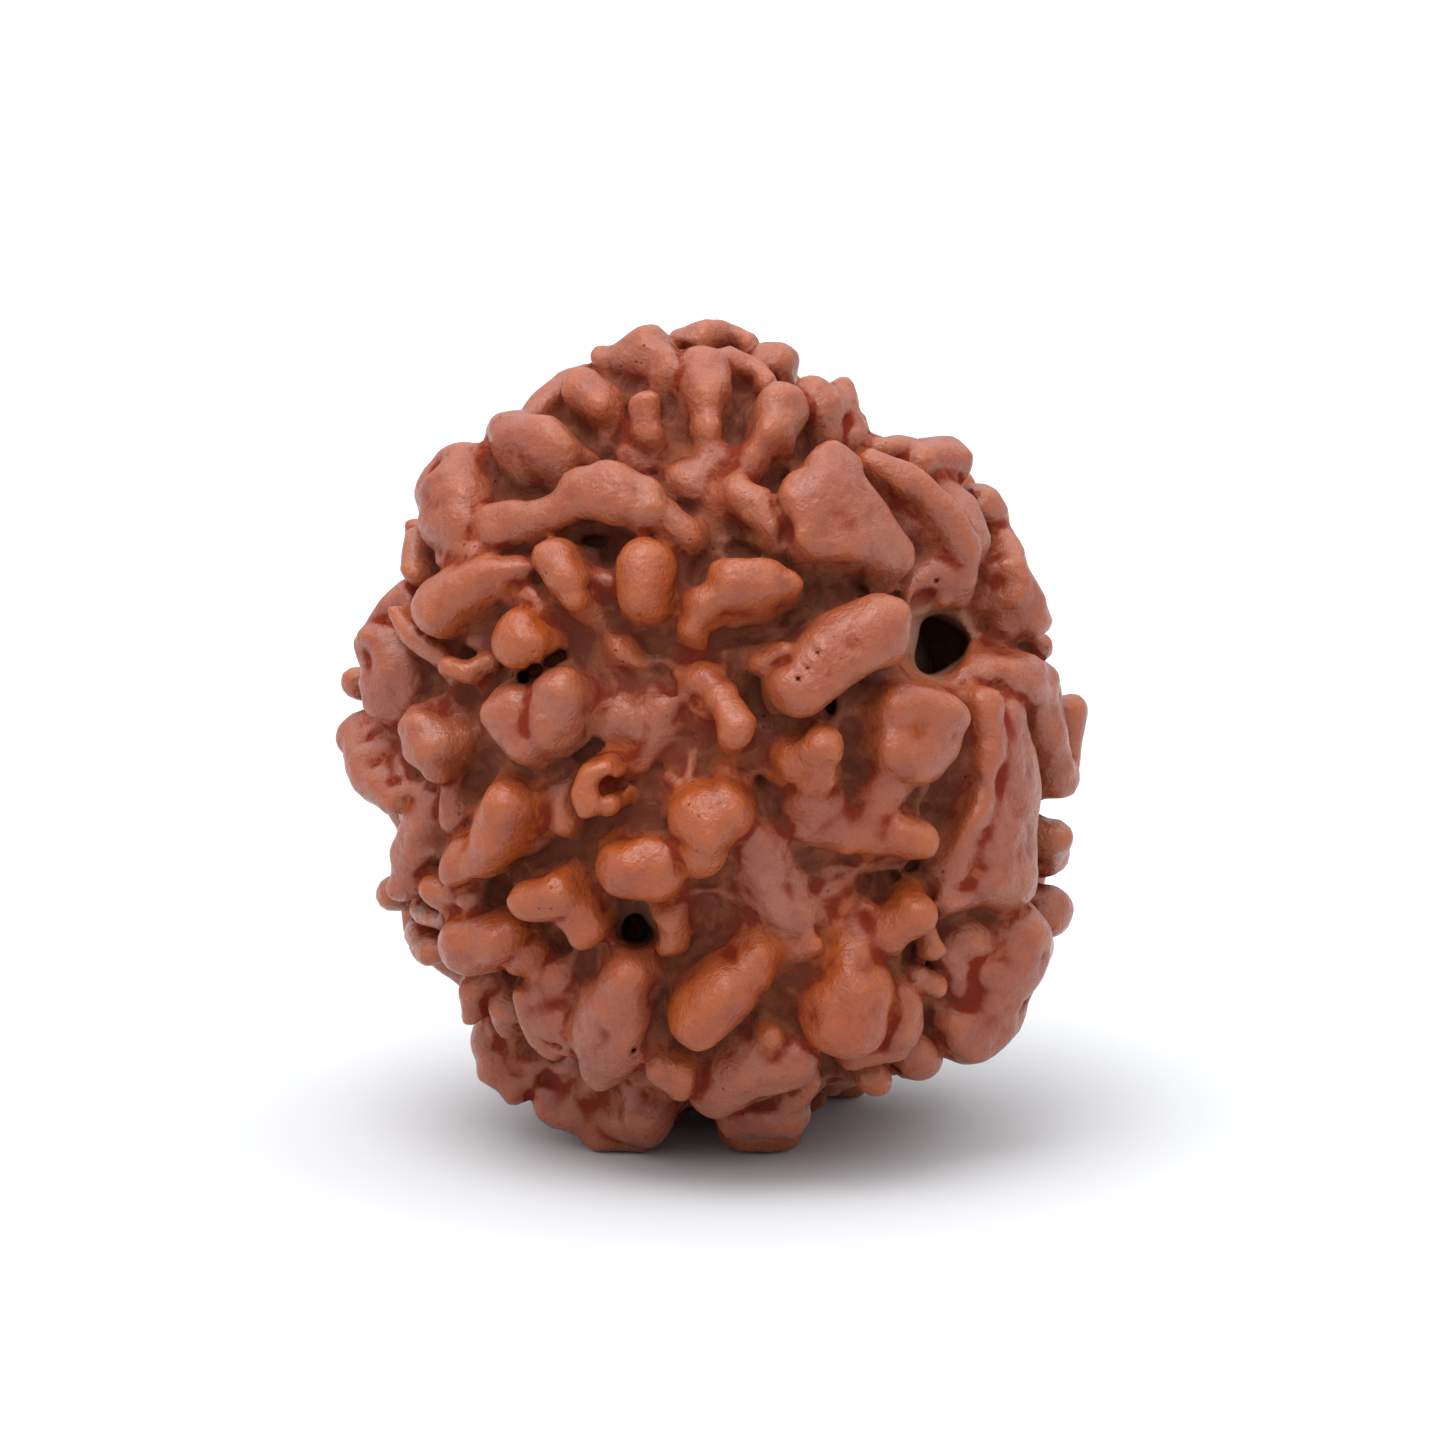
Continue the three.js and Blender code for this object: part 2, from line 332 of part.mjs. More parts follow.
// Moves a point straight out or in until it is that far above the floor.
function atLift(p, lift) {
  const q = p.clone();
  for (let i = 0; i < 4; i++) q.addScaledVector(floorNormal(q), lift - floorHeight(q.x, q.y, q.z));
  return q;
}

// The point at that lift which the eye sees at a place of the drawing. Past the
// outline it is the point of the line of sight that comes closest to the floor.
function seenPoint(right, up, lift) {
  const eye = TOWARDS_EYE.clone().multiplyScalar(EYE_DISTANCE);
  const target = vec([right, 0, 0]).addScaledVector(DRAWING_UP, up);
  const sight = target.sub(eye).normalize();
  const p = eye.clone().addScaledVector(sight, EYE_DISTANCE - 20);
  let best = p.clone();
  let least = Infinity;
  for (let i = 0; i < 400; i++) {
    const gap = floorHeight(p.x, p.y, p.z) - lift;
    if (gap < least) {
      least = gap;
      best = p.clone();
    }
    if (gap < 0.002) break;
    p.addScaledVector(sight, Math.max(gap * 0.7, 0.05));
  }
  return best;
}

// A lump in place: the point of its top, the way out, its radius and its lift.
function lumpAt(p, radius, lift) {
  const out = floorNormal(p);
  return { at: p, out, radius, lift, away: out, squeeze: 0 };
}

// A lump of the drawing. Its place there is that of its rounded end.
function drawnLump([right, up, radius, lift], rim, scale = 1) {
  const sunk = SUNK * Math.min(RIM_SCALE * rim, 0.9 * radius);
  const seen = seenPoint(right, up, scale * lift - sunk);
  const raised = Math.max(scale * lift, floorHeight(seen.x, seen.y, seen.z) + sunk);
  const lump = lumpAt(atLift(seen, raised), radius, raised);
  const facing = Math.max(lump.out.dot(TOWARDS_EYE), LEAST_FACING);
  lump.away = lump.out.clone().multiplyScalar(facing).sub(TOWARDS_EYE).normalize();
  lump.squeeze = 1 - facing ** SQUEEZE;
  lump.out = lump.out.clone().addScaledVector(TOWARDS_EYE, LEAN).normalize();
  return lump;
}

function frontKnobs() {
  const drawn = FRONT_KNOBS.map(([rim, draft, ...chain]) => ({
    rim,
    draft,
    chain: chain.map((lump) => drawnLump(lump, rim, LIFT_SCALE)),
  }));
  const feet = FEET.map(([rim, draft, ...chain]) => ({
    rim,
    draft,
    chain: chain.map(([x, y, z, radius, lift]) =>
      lumpAt(atLift(vec([x, y, z]), LIFT_SCALE * lift), radius, LIFT_SCALE * lift),
    ),
  }));
  return [...drawn, ...feet];
}

// How far inside the outline a point shows, below zero outside it.
function roomInside(p) {
  const scale = EYE_DISTANCE / (EYE_DISTANCE - p.dot(TOWARDS_EYE));
  const [right, up] = [p.x * scale, p.dot(DRAWING_UP) * scale];
  let least = Infinity;
  let inside = false;
  OUTLINE.forEach(([ax, ay], i) => {
    const [bx, by] = OUTLINE[(i + 1) % OUTLINE.length];
    const along = ((right - ax) * (bx - ax) + (up - ay) * (by - ay)) / ((bx - ax) ** 2 + (by - ay) ** 2);
    const t = clamp(along, 0, 1);
    least = Math.min(least, Math.hypot(right - ax - t * (bx - ax), up - ay - t * (by - ay)));
    if (ay > up !== by > up && right < ax + ((up - ay) * (bx - ax)) / (by - ay)) inside = !inside;
  });
  return inside ? least : -least;
}

// A knob's chain laid flat: each lump's place round the chain's middle.
function flattened(knob) {
  const middle = new THREE.Vector3();
  for (const lump of knob.chain) middle.addScaledVector(lump.at, 1 / knob.chain.length);
  const out = floorNormal(middle);
  const side = new THREE.Vector3(0, 0, 1).cross(out).normalize();
  const up = out.clone().cross(side);
  return knob.chain.map(({ at, radius, lift }) => {
    const d = at.clone().sub(middle);
    return { x: d.dot(side), y: d.dot(up), radius, lift };
  });
}

// Covers what is still bare. Shapes from the stock are thrown at the stone, large ones
// first, and one stays where it is behind what the eye sees and clears every other lump.
const ROUNDS = [
  { throws: 1500, lumps: [4, 8], gap: [0.5, 0.9] },
  { throws: 2500, lumps: [3, 4], gap: [0.5, 0.9] },
  { throws: 2500, lumps: [2, 3], gap: [0.4, 0.8] },
  { throws: 2500, lumps: [1, 2], gap: [0.35, 0.6] },
];
const THROWN_AT = { radius: 11, lift: 1.8 }; // where the middle of a thrown shape is put first
const SIZE_SPREAD = [0.85, 1.15];
const COVERED_LIFT = [1.4, 3.1];
const LEAST_LIFT = 0.9;
const FACING_LIMIT = 0.02;
const OUTLINE_ROOM = 0.1; // how far a lump's edge keeps inside the outline
const EDGE_SHARE = 0.7; // how much of a lump's radius counts towards that
const LOWERED = 1.1; // how much lower a lump gets for each millimetre past that room
function coverRest(knobs) {
  const random = randomRow(SEED);
  const stock = knobs.map((knob) => ({ rim: knob.rim, flat: flattened(knob) }));
  const lumps = knobs.flatMap((knob) => knob.chain);
  const all = [...knobs];
  for (const { throws, lumps: count, gap } of ROUNDS) {
    const shapes = stock.filter(({ flat }) => flat.length >= count[0] && flat.length <= count[1]);
    for (let i = 0; i < throws; i++) {
      const height = 2 * random() - 1;
      const turn = 2 * Math.PI * random();
      const shape = shapes[Math.floor(shapes.length * random())];
      const spin = 2 * Math.PI * random();
      const size = lerp(...SIZE_SPREAD, random());
      const space = lerp(...gap, random());
      const flip = random() < 0.5 ? -1 : 1;
      const ring = Math.sqrt(1 - height * height);
      const way = new THREE.Vector3(ring * Math.cos(turn), ring * Math.sin(turn), height);
      const middle = atLift(way.multiplyScalar(THROWN_AT.radius), THROWN_AT.lift);
      const out = floorNormal(middle);
      const side = new THREE.Vector3(0, 0, 1).cross(out).normalize().applyAxisAngle(out, spin);
      const up = out.clone().cross(side).multiplyScalar(flip);
      const chain = shape.flat.map(({ x, y, radius, lift }) => {
        const p = middle.clone().addScaledVector(side, size * x).addScaledVector(up, size * y);
        const raised = clamp(lift, ...COVERED_LIFT);
        const first = atLift(p, raised);
        const over = Math.max(OUTLINE_ROOM + EDGE_SHARE * size * radius - roomInside(first), 0);
        const lowered = raised - LOWERED * over;
        return lumpAt(atLift(first, lowered), size * radius, lowered);
      });
      const hidden = ({ lift, out: away }) => lift > LEAST_LIFT && away.dot(TOWARDS_EYE) < FACING_LIMIT;
      const clear = (a) => lumps.every((b) => a.at.distanceTo(b.at) > a.radius + b.radius + space);
      if (!chain.every(hidden) || !chain.every(clear)) continue;
      all.push({ rim: shape.rim, chain });
      lumps.push(...chain);
    }
  }
  return all;
}

// Low ridges that tie neighbouring knobs of the covered part together.
const RIDGES = { reach: 3.2, share: 0.45, rim: 0.3, lift: [0.7, 1.2], radius: [0.3, 0.45] };
function lowRidges(knobs, firstCovered) {
  const random = randomRow(SEED + 1);
  const ridges = [];
  for (let i = firstCovered; i < knobs.length; i++) {
    const a = knobs[i].chain[0];
    for (let j = 0; j < i; j++) {
      const b = knobs[j].chain[knobs[j].chain.length - 1];
      const apart = a.at.distanceTo(b.at);
      if (apart > RIDGES.reach || random() > RIDGES.share) continue;
      const [lift, radius] = [lerp(...RIDGES.lift, random()), lerp(...RIDGES.radius, random())];
      const ends = [a, b].map((end) => lumpAt(atLift(end.at, lift), radius, lift));
      ridges.push({ rim: RIDGES.rim, chain: ends });
    }
  }
  return ridges;
}

// What a knob has besides its chain: its middle, its draft and the slope of its top.
function finished(knob, i) {
  const middle = new THREE.Vector3();
  const out = new THREE.Vector3();
  for (const lump of knob.chain) {
    middle.addScaledVector(lump.at, 1 / knob.chain.length);
    out.addScaledVector(lump.out, 1 / knob.chain.length);
  }
  const slope = vec([0, 1, 2].map((k) => TILT * (2 * hash(i, 5, k, SEED) - 1)));
  slope.addScaledVector(out, -slope.dot(out));
  const draft = knob.draft ?? lerp(...DRAFT, hash(i, 4, 1, SEED));
  return { ...knob, middle, slope, draft };
}

// Distance to a knob: a rounded column round its chain, cut off at its lift.
function knobDistance(knob, p, height) {
  let distance = Infinity;
  const { chain, rim, middle, slope, draft } = knob;
  const slant = (p[0] - middle.x) * slope.x + (p[1] - middle.y) * slope.y + (p[2] - middle.z) * slope.z;
  for (let i = 0; i < Math.max(chain.length - 1, 1); i++) {
    const a = chain[i];
    const b = chain[Math.min(i + 1, chain.length - 1)];
    const [ax, ay, az] = [b.at.x - a.at.x, b.at.y - a.at.y, b.at.z - a.at.z];
    const long = ax * ax + ay * ay + az * az;
    const [qx, qy, qz] = [p[0] - a.at.x, p[1] - a.at.y, p[2] - a.at.z];
    const s = long > 0 ? clamp((qx * ax + qy * ay + qz * az) / long, 0, 1) : 0;
    const [ex, ey, ez] = [qx - s * ax, qy - s * ay, qz - s * az];
    const pressed = a.squeeze * (ex * a.away.x + ey * a.away.y + ez * a.away.z);
    const [dx, dy, dz] = [ex - pressed * a.away.x, ey - pressed * a.away.y, ez - pressed * a.away.z];
    const [nx, ny, nz] = [lerp(a.out.x, b.out.x, s), lerp(a.out.y, b.out.y, s), lerp(a.out.z, b.out.z, s)];
    const out = (dx * nx + dy * ny + dz * nz) / Math.hypot(nx, ny, nz);
    const side = Math.sqrt(Math.max(dx * dx + dy * dy + dz * dz - out * out, 0));
    const radius = Math.max(lerp(a.radius, b.radius, s), SMALLEST);
    const above = height - lerp(a.lift, b.lift, s);
    const edge = Math.min(RIM_SCALE * rim, 0.9 * radius);
    const wide = side - radius + draft * Math.min(above + DRAFT_FROM, 0) + edge;
    const tall = above + slant + CROWN * (side / radius) ** 2 * radius + edge;
    const d = Math.min(Math.max(wide, tall), 0) + Math.hypot(Math.max(wide, 0), Math.max(tall, 0)) - edge;
    distance = Math.min(distance, d);
  }
  return distance;
}

// Distance to the floor's own surface, with its lumps and hollows.
function floorDistance(p, height, hollows) {
  let ground = height - FLOOR_LIFT;
  for (const { size, depth, seed } of FLOOR_RELIEF) ground -= depth * noiseAt(p, size, seed);
  for (const { at, radius, depth } of hollows) {
    const apart = ((p[0] - at.x) ** 2 + (p[1] - at.y) ** 2 + (p[2] - at.z) ** 2) / radius ** 2;
    if (apart < 6) ground += depth * Math.exp(-apart);
  }
  return ground;
}

// Distance to the wall of a hole that goes in from its mouth.
function pitDistance({ at, out, radius, depth }, p) {
  const [dx, dy, dz] = [p[0] - at.x, p[1] - at.y, p[2] - at.z];
  const along = dx * out.x + dy * out.y + dz * out.z;
  const past = along - clamp(along, -depth, PIT_RISE);
  return Math.sqrt(Math.max(dx * dx + dy * dy + dz * dz - along * along, 0) + past * past) - radius;
}

// The stone as numbers on a net of points: below zero inside it.
function stoneField() {
  const front = frontKnobs();
  const covered = coverRest(front);
  const knobs = [...covered, ...lowRidges(covered, front.length)].map(finished);
  const pits = PITS.map(({ mouth, depth }) => ({ ...drawnLump(mouth, 0), out: TOWARDS_EYE, depth }));
  const hollows = HOLLOWS.map(([right, up, radius, depth]) => {
    return { at: seenPoint(right, up, 0), radius, depth };
  });
  const reach = NET_REACH;
  const counts = reach.map((r) => Math.ceil((2 * r) / CELL) + 1);
  const [nx, ny, nz] = counts;
  const total = nx * ny * nz;
  const places = new Array(total);
  const height = new Float64Array(total);
  const knobField = new Float64Array(total).fill(FAR);
  for (let i = 0; i < total; i++) {
    const grid = [i % nx, Math.floor(i / nx) % ny, Math.floor(i / (nx * ny))];
    let p = grid.map((g, axis) => g * CELL - reach[axis]);
    for (const { size, depth, seed } of WAVES) {
      const still = p;
      p = still.map((v, axis) => v + depth * noiseAt(still, size, seed + axis));
    }
    places[i] = p;
    height[i] = floorHeight(...p);
  }
  const toGrid = (v, axis) => (v + reach[axis]) / CELL;
  for (const knob of knobs) {
    const low = [Infinity, Infinity, Infinity];
    const high = [-Infinity, -Infinity, -Infinity];
    for (const { at, radius } of knob.chain) {
      at.toArray().forEach((v, axis) => {
        low[axis] = Math.min(low[axis], v - radius - KNOB_MARGIN);
        high[axis] = Math.max(high[axis], v + radius + KNOB_MARGIN);
      });
    }
    const from = low.map((v, axis) => Math.max(Math.floor(toGrid(v, axis)), 0));
    const to = high.map((v, axis) => Math.min(Math.ceil(toGrid(v, axis)), counts[axis] - 1));
    for (let z = from[2]; z <= to[2]; z++)
      for (let y = from[1]; y <= to[1]; y++)
        for (let x = from[0]; x <= to[0]; x++) {
          const i = x + nx * (y + ny * z);
          if (height[i] < KNOB_HEIGHTS[0] || height[i] > KNOB_HEIGHTS[1]) continue;
          knobField[i] = blend(knobField[i], knobDistance(knob, places[i], height[i]), KNOB_BLEND);
        }
  }
  const values = new Float64Array(total);
  for (let i = 0; i < total; i++) {
    const p = places[i];
    let value = blend(floorDistance(p, height[i], hollows), knobField[i], ROOT_BLEND);
    const wrinkled = clamp(WRINKLED_TO - height[i], 0, 1);
    for (const { size, depth, seed } of WRINKLES) {
      value -= depth * wrinkled * (1 - Math.abs(noiseAt(p, size, seed))) ** WRINKLE_SHARPNESS;
    }
    for (const { size, depth, seed } of DENTS) value += depth * noiseAt(p, size, seed);
    for (const pit of pits) value = -blend(-value, pitDistance(pit, p), PIT_LIP);
    values[i] = value;
  }
  return { values, counts, reach };
}

// Reads the zero surface off the net. Each cube of the net is six tetrahedra round its
// diagonal, and a tetrahedron is cut by one triangle or by two.
const CORNERS = [1, 2, 4].flatMap((a) => [1, 2, 4].filter((b) => b !== a).map((b) => [0, a, a | b, 7]));
function zeroSurface({ values, counts, reach }) {
  const [nx, ny, nz] = counts;
  const step = (corner) => (corner & 1) + nx * (((corner >> 1) & 1) + ny * ((corner >> 2) & 1));
  const placeOf = (i) => [i % nx, Math.floor(i / nx) % ny, Math.floor(i / (nx * ny))];
  const points = [];
  const known = new Map();
  const crossing = (a, b) => {
    const [low, high] = a < b ? [a, b] : [b, a];
    const key = low * values.length + high;
    if (!known.has(key)) {
      const t = clamp(values[low] / (values[low] - values[high]), 0.08, 0.92);
      const [p, q] = [placeOf(low), placeOf(high)];
      known.set(key, points.length);
      points.push(p.map((v, axis) => lerp(v, q[axis], t) * CELL - reach[axis]));
    }
    return known.get(key);
  };
  const faces = [];
  const addFace = (a, b, c, insidePoint) => {
    const [p, q, r] = [points[a], points[b], points[c]];
    const u = q.map((v, i) => v - p[i]);
    const w = r.map((v, i) => v - p[i]);
    const n = [u[1] * w[2] - u[2] * w[1], u[2] * w[0] - u[0] * w[2], u[0] * w[1] - u[1] * w[0]];
    const inward = n.reduce((sum, v, i) => sum + v * (insidePoint[i] - p[i]), 0);
    faces.push(inward < 0 ? [a, b, c] : [a, c, b]);
  };
  for (let z = 0; z < nz - 1; z++)
    for (let y = 0; y < ny - 1; y++)
      for (let x = 0; x < nx - 1; x++) {
        const base = x + nx * (y + ny * z);
        for (const corners of CORNERS) {
          const ids = corners.map((corner) => base + step(corner));
          const inside = ids.filter((i) => values[i] < 0);
          const outside = ids.filter((i) => values[i] >= 0);
          if (!inside.length || !outside.length) continue;
          const mark = placeOf(inside[0]).map((v, axis) => v * CELL - reach[axis]);
          if (inside.length === 2) {
            const [a, b, c, d] = [
              crossing(inside[0], outside[0]),
              crossing(inside[0], outside[1]),
              crossing(inside[1], outside[1]),
              crossing(inside[1], outside[0]),
            ];
            addFace(a, b, c, mark);
            addFace(a, c, d, mark);
          } else {
            const [alone, others] = inside.length === 1 ? [inside[0], outside] : [outside[0], inside];
            const [a, b, c] = others.map((i) => crossing(alone, i));
            addFace(a, b, c, mark);
          }
        }
      }
  return { points, faces };
}

// Thins a closed mesh: the edge whose loss moves the surface least goes first. A vertex
// keeps the sum of its faces' planes as a quadric of ten numbers.
function thinned({ points, faces }, wanted) {
  const facesOf = points.map(() => new Set());
  faces.forEach((face, i) => face.forEach((v) => facesOf[v].add(i)));
  const cross = (a, b, c) => {
    const [ux, uy, uz] = [b[0] - a[0], b[1] - a[1], b[2] - a[2]];
    const [vx, vy, vz] = [c[0] - a[0], c[1] - a[1], c[2] - a[2]];
    return [uy * vz - uz * vy, uz * vx - ux * vz, ux * vy - uy * vx];
  };
  const quadrics = points.map(() => new Float64Array(10));
  for (const face of faces) {
    const corner = face.map((v) => points[v]);
    const n = cross(...corner);
    const area = Math.hypot(...n);
    if (area < 1e-12) continue;
    const [a, b, c] = n.map((v) => v / area);
    const d = -(a * corner[0][0] + b * corner[0][1] + c * corner[0][2]);
    const terms = [a * a, a * b, a * c, a * d, b * b, b * c, b * d, c * c, c * d, d * d];
    for (const v of face) terms.forEach((t, i) => (quadrics[v][i] += t * area));
  }
  const costAt = (q, [x, y, z]) =>
    q[0] * x * x + 2 * q[1] * x * y + 2 * q[2] * x * z + 2 * q[3] * x + q[4] * y * y + 2 * q[5] * y * z +
    2 * q[6] * y + q[7] * z * z + 2 * q[8] * z + q[9];
  const bestPlace = (q, p, r) => {
    const m = new THREE.Matrix3().set(q[0], q[1], q[2], q[1], q[4], q[5], q[2], q[5], q[7]);
    const middle = p.map((v, i) => (v + r[i]) / 2);
    if (Math.abs(m.determinant()) > 1e-8) {
      const s = new THREE.Vector3(-q[3], -q[6], -q[8]).applyMatrix3(m.invert()).toArray();
      const away = Math.hypot(...s.map((v, i) => v - middle[i]));
      if (away < Math.hypot(...p.map((v, i) => v - r[i]))) return s;
    }
    return [middle, p, r].reduce((best, v) => (costAt(q, v) < costAt(q, best) ? v : best));
  };
  const heap = [];
  const less = (i, j) => heap[i].cost < heap[j].cost;
  const swap = (i, j) => ([heap[i], heap[j]] = [heap[j], heap[i]]);
  const push = (item) => {
    let i = heap.push(item) - 1;
    for (let up = (i - 1) >> 1; i > 0 && less(i, up); i = up, up = (i - 1) >> 1) swap(i, up);
  };
  const pop = () => {
    swap(0, heap.length - 1);
    const item = heap.pop();
    for (let i = 0, least; ; i = least) {
      least = i;
      for (const child of [2 * i + 1, 2 * i + 2]) {
        if (child < heap.length && less(child, least)) least = child;
      }
      if (least === i) return item;
      swap(i, least);
    }
  };
  const version = new Int32Array(points.length);
  const offer = (a, b) => {
    const q = quadrics[a].map((v, i) => v + quadrics[b][i]);
    const place = bestPlace(q, points[a], points[b]);
    const length = Math.hypot(...points[a].map((v, i) => v - points[b][i]));
    push({ a, b, q, place, cost: costAt(q, place) + 1e-5 * length, ages: [version[a], version[b]] });
  };
  const neighbours = (v) => {
    const found = new Set();
    for (const f of facesOf[v]) for (const w of faces[f]) if (w !== v) found.add(w);
    return found;
  };
  points.forEach((_, a) => neighbours(a).forEach((b) => a < b && offer(a, b)));
  // A face may turn by at most this cosine, and a long thin face isn't made.
  const [TURN, THIN] = [0.2, 0.05];
  const staysSound = (v, gone, place) =>
    [...facesOf[v]].every((f) => {
      if (faces[f].includes(gone)) return true;
      const before = faces[f].map((w) => points[w]);
      const after = faces[f].map((w) => (w === v ? place : points[w]));
      const [n, m] = [cross(...before), cross(...after)];
      const [ln, lm] = [Math.hypot(...n), Math.hypot(...m)];
      if (lm < 1e-9) return false;
      const sides = after.map((p, i) => Math.hypot(...p.map((x, k) => x - after[(i + 1) % 3][k])));
      const longest = Math.max(...sides);
      const turn = (n[0] * m[0] + n[1] * m[1] + n[2] * m[2]) / (Math.max(ln, 1e-12) * lm);
      return turn > TURN && lm > THIN * longest * longest;
    });
  let left = faces.length;
  while (left > wanted && heap.length) {
    const { a, b, q, place, ages } = pop();
    if (ages[0] !== version[a] || ages[1] !== version[b]) continue;
    const [near, far] = [neighbours(a), neighbours(b)];
    const shared = [...near].filter((v) => far.has(v));
    if (shared.length !== 2 || !staysSound(a, b, place) || !staysSound(b, a, place)) continue;
    for (const f of [...facesOf[b]]) {
      if (faces[f].includes(a)) {
        faces[f].forEach((v) => facesOf[v].delete(f));
        faces[f] = null;
        left--;
      } else {
        faces[f] = faces[f].map((v) => (v === b ? a : v));
        facesOf[a].add(f);
      }
    }
    facesOf[b].clear();
    points[a] = place;
    quadrics[a] = q;
    version[a]++;
    version[b]++;
    neighbours(a).forEach((v) => offer(a, v));
  }
  return { points, faces: faces.filter(Boolean) };
}

const wasm = await Module();
wasm.setup();

function toSolid(geometry) {
  const bare = new THREE.BufferGeometry().setAttribute("position", geometry.getAttribute("position"));
  const merged = mergeVertices(geometry.index ? bare.setIndex(geometry.index) : bare, 1e-5);
  const vertProperties = new Float32Array(merged.attributes.position.array);
  const triVerts = new Uint32Array(merged.index.array);
  return new wasm.Manifold(new wasm.Mesh({ numProp: 3, vertProperties, triVerts }));
}

function toGeometry(solid) {
  const { vertProperties, triVerts } = solid.getMesh();
  return new THREE.BufferGeometry()
    .setAttribute("position", new THREE.BufferAttribute(vertProperties, 3))
    .setIndex(new THREE.BufferAttribute(triVerts, 1));
}

// The stone, stood on the surface: what would reach below it is worn flat.
function seedGeometry() {
  const { points, faces } = thinned(zeroSurface(stoneField()), TRIANGLES);
  const used = new Map();
  for (const v of faces.flat()) if (!used.has(v)) used.set(v, used.size);
  const positions = new Float32Array([...used.keys()].flatMap((v) => points[v]));
  const stone = new THREE.BufferGeometry()
    .setAttribute("position", new THREE.BufferAttribute(positions, 3))
    .setIndex(faces.flat().map((v) => used.get(v)))
    .translate(0, 0, MIDDLE_HEIGHT);
  const below = new THREE.BoxGeometry(40, 40, 10).translate(0, 0, -5);
  const bodies = toSolid(stone).subtract(toSolid(below)).decompose();
  const whole = bodies.reduce((best, body) => (body.volume() > best.volume() ? body : best));
  const geometry = toGeometry(whole);
  geometry.computeBoundingBox();
  const middle = geometry.boundingBox.getCenter(new THREE.Vector3());
  return geometry.translate(-middle.x, -middle.y, 0);
}

const seedMaterial = new THREE.MeshStandardMaterial({ color: 0xa65f42, roughness: 0.5, metalness: 0 });
const seed = new THREE.Mesh(seedGeometry(), seedMaterial);
seed.name = "seed";

const part = new THREE.Group();
part.add(seed);

export default part;
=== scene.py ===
"""A rudraksha seed standing on a white surface in soft light.

The stone is one distance field, read on a fine net of points: an egg-shaped floor, the
knobs that stand on it, and the finer webs, seams and pits. Lengths in the field are
millimetres from the middle of the drawing; the finished mesh is in metres.
"""

import math

import bpy
import numpy as np
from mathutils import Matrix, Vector


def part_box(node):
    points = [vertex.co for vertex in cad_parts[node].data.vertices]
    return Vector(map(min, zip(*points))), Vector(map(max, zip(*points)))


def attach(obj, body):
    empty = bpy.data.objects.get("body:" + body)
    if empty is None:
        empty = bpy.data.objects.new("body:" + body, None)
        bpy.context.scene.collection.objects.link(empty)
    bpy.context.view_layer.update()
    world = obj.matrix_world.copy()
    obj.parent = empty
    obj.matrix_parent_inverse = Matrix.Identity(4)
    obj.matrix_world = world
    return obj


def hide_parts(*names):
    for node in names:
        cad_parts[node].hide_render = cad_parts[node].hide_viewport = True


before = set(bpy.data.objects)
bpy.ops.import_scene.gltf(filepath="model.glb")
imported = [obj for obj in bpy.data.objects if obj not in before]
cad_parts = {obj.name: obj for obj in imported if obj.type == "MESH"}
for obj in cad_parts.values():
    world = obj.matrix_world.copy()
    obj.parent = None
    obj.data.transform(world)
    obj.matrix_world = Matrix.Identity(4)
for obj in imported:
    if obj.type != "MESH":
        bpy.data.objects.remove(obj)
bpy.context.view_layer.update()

MM = 0.001

# The stone, in millimetres and degrees, as in the part's source.
MIDDLE_HEIGHT = 13.5
EYE_DISTANCE = 360
EYE_ELEVATION = 12
FLOOR_BLEND = 2.5  # how softly the two bodies of the floor run together
FLOOR_BODIES = [
    # centre, half sizes, lean of the long axis to the left
    ((-0.1, 0, 0.6), (9.75, 9.75, 11.05), 5),
    ((1.2, 0, -5.9), (8.2, 8.2, 5.2), 0),
]
FLOOR_LIFT = 0.4  # how far the floor's own surface stands above those bodies
LIFT_SCALE = 1.14  # the lifts of the drawn knobs and the feet are times this
KNOB_BLEND = 0.28  # fillet where two knobs meet
WEB_BLEND = 0.3  # fillet where a web meets the floor
ROOT_BLEND = 1.4  # fillet where a knob meets the floor
DRAFT = (-0.02, 0.2)  # how much wider a knob gets for each millimetre down, least and most
PLAIN_DRAFT = 0.1  # the same for a web
DRAFT_FROM = 0.8  # how far below its top a knob starts to widen
CROWN = 0.22  # how much a knob's top falls off towards its rim
TILT = 0.14  # the most that a knob's top slopes
RIM_SCALE = 1.4  # all rims below are times this
RIM_SHARE = 0.9  # the most of a lump's radius that its rim takes up
SUNK = 0.8  # how much of its rim a drawn knob is anchored below its top
LEAN = 0.2  # how far the front's knobs lean towards the eye
# Knobs are drawn as seen, so those on the turn to the outline are longer that way than drawn.
SQUEEZE = 0.7
LEAST_FACING = 0.5
# Size and depth of the waves in the knobs' outlines, of the dents in every surface, and of
# the lumps and wrinkles of the floor.
WAVES = [(2.4, 0.2), (0.9, 0.07)]
DENTS = [(2.1, 0.13), (0.9, 0.11), (0.42, 0.05)]
FLOOR_RELIEF = [(4.5, 0.45), (1.6, 0.35), (0.8, 0.22)]
WRINKLES = [(1.9, 0.34), (1.0, 0.2)]
WRINKLED_TO = 1.9  # the height over the floor at which its wrinkles end
WRINKLE_SHARPNESS = 5
FOOT_ROUND = 0.5  # how softly the feet run into their flats
SEED = 11
WAVE_SEED, DENT_SEED, WRINKLE_SEED, RELIEF_SEED = 1, 20, 30, 40

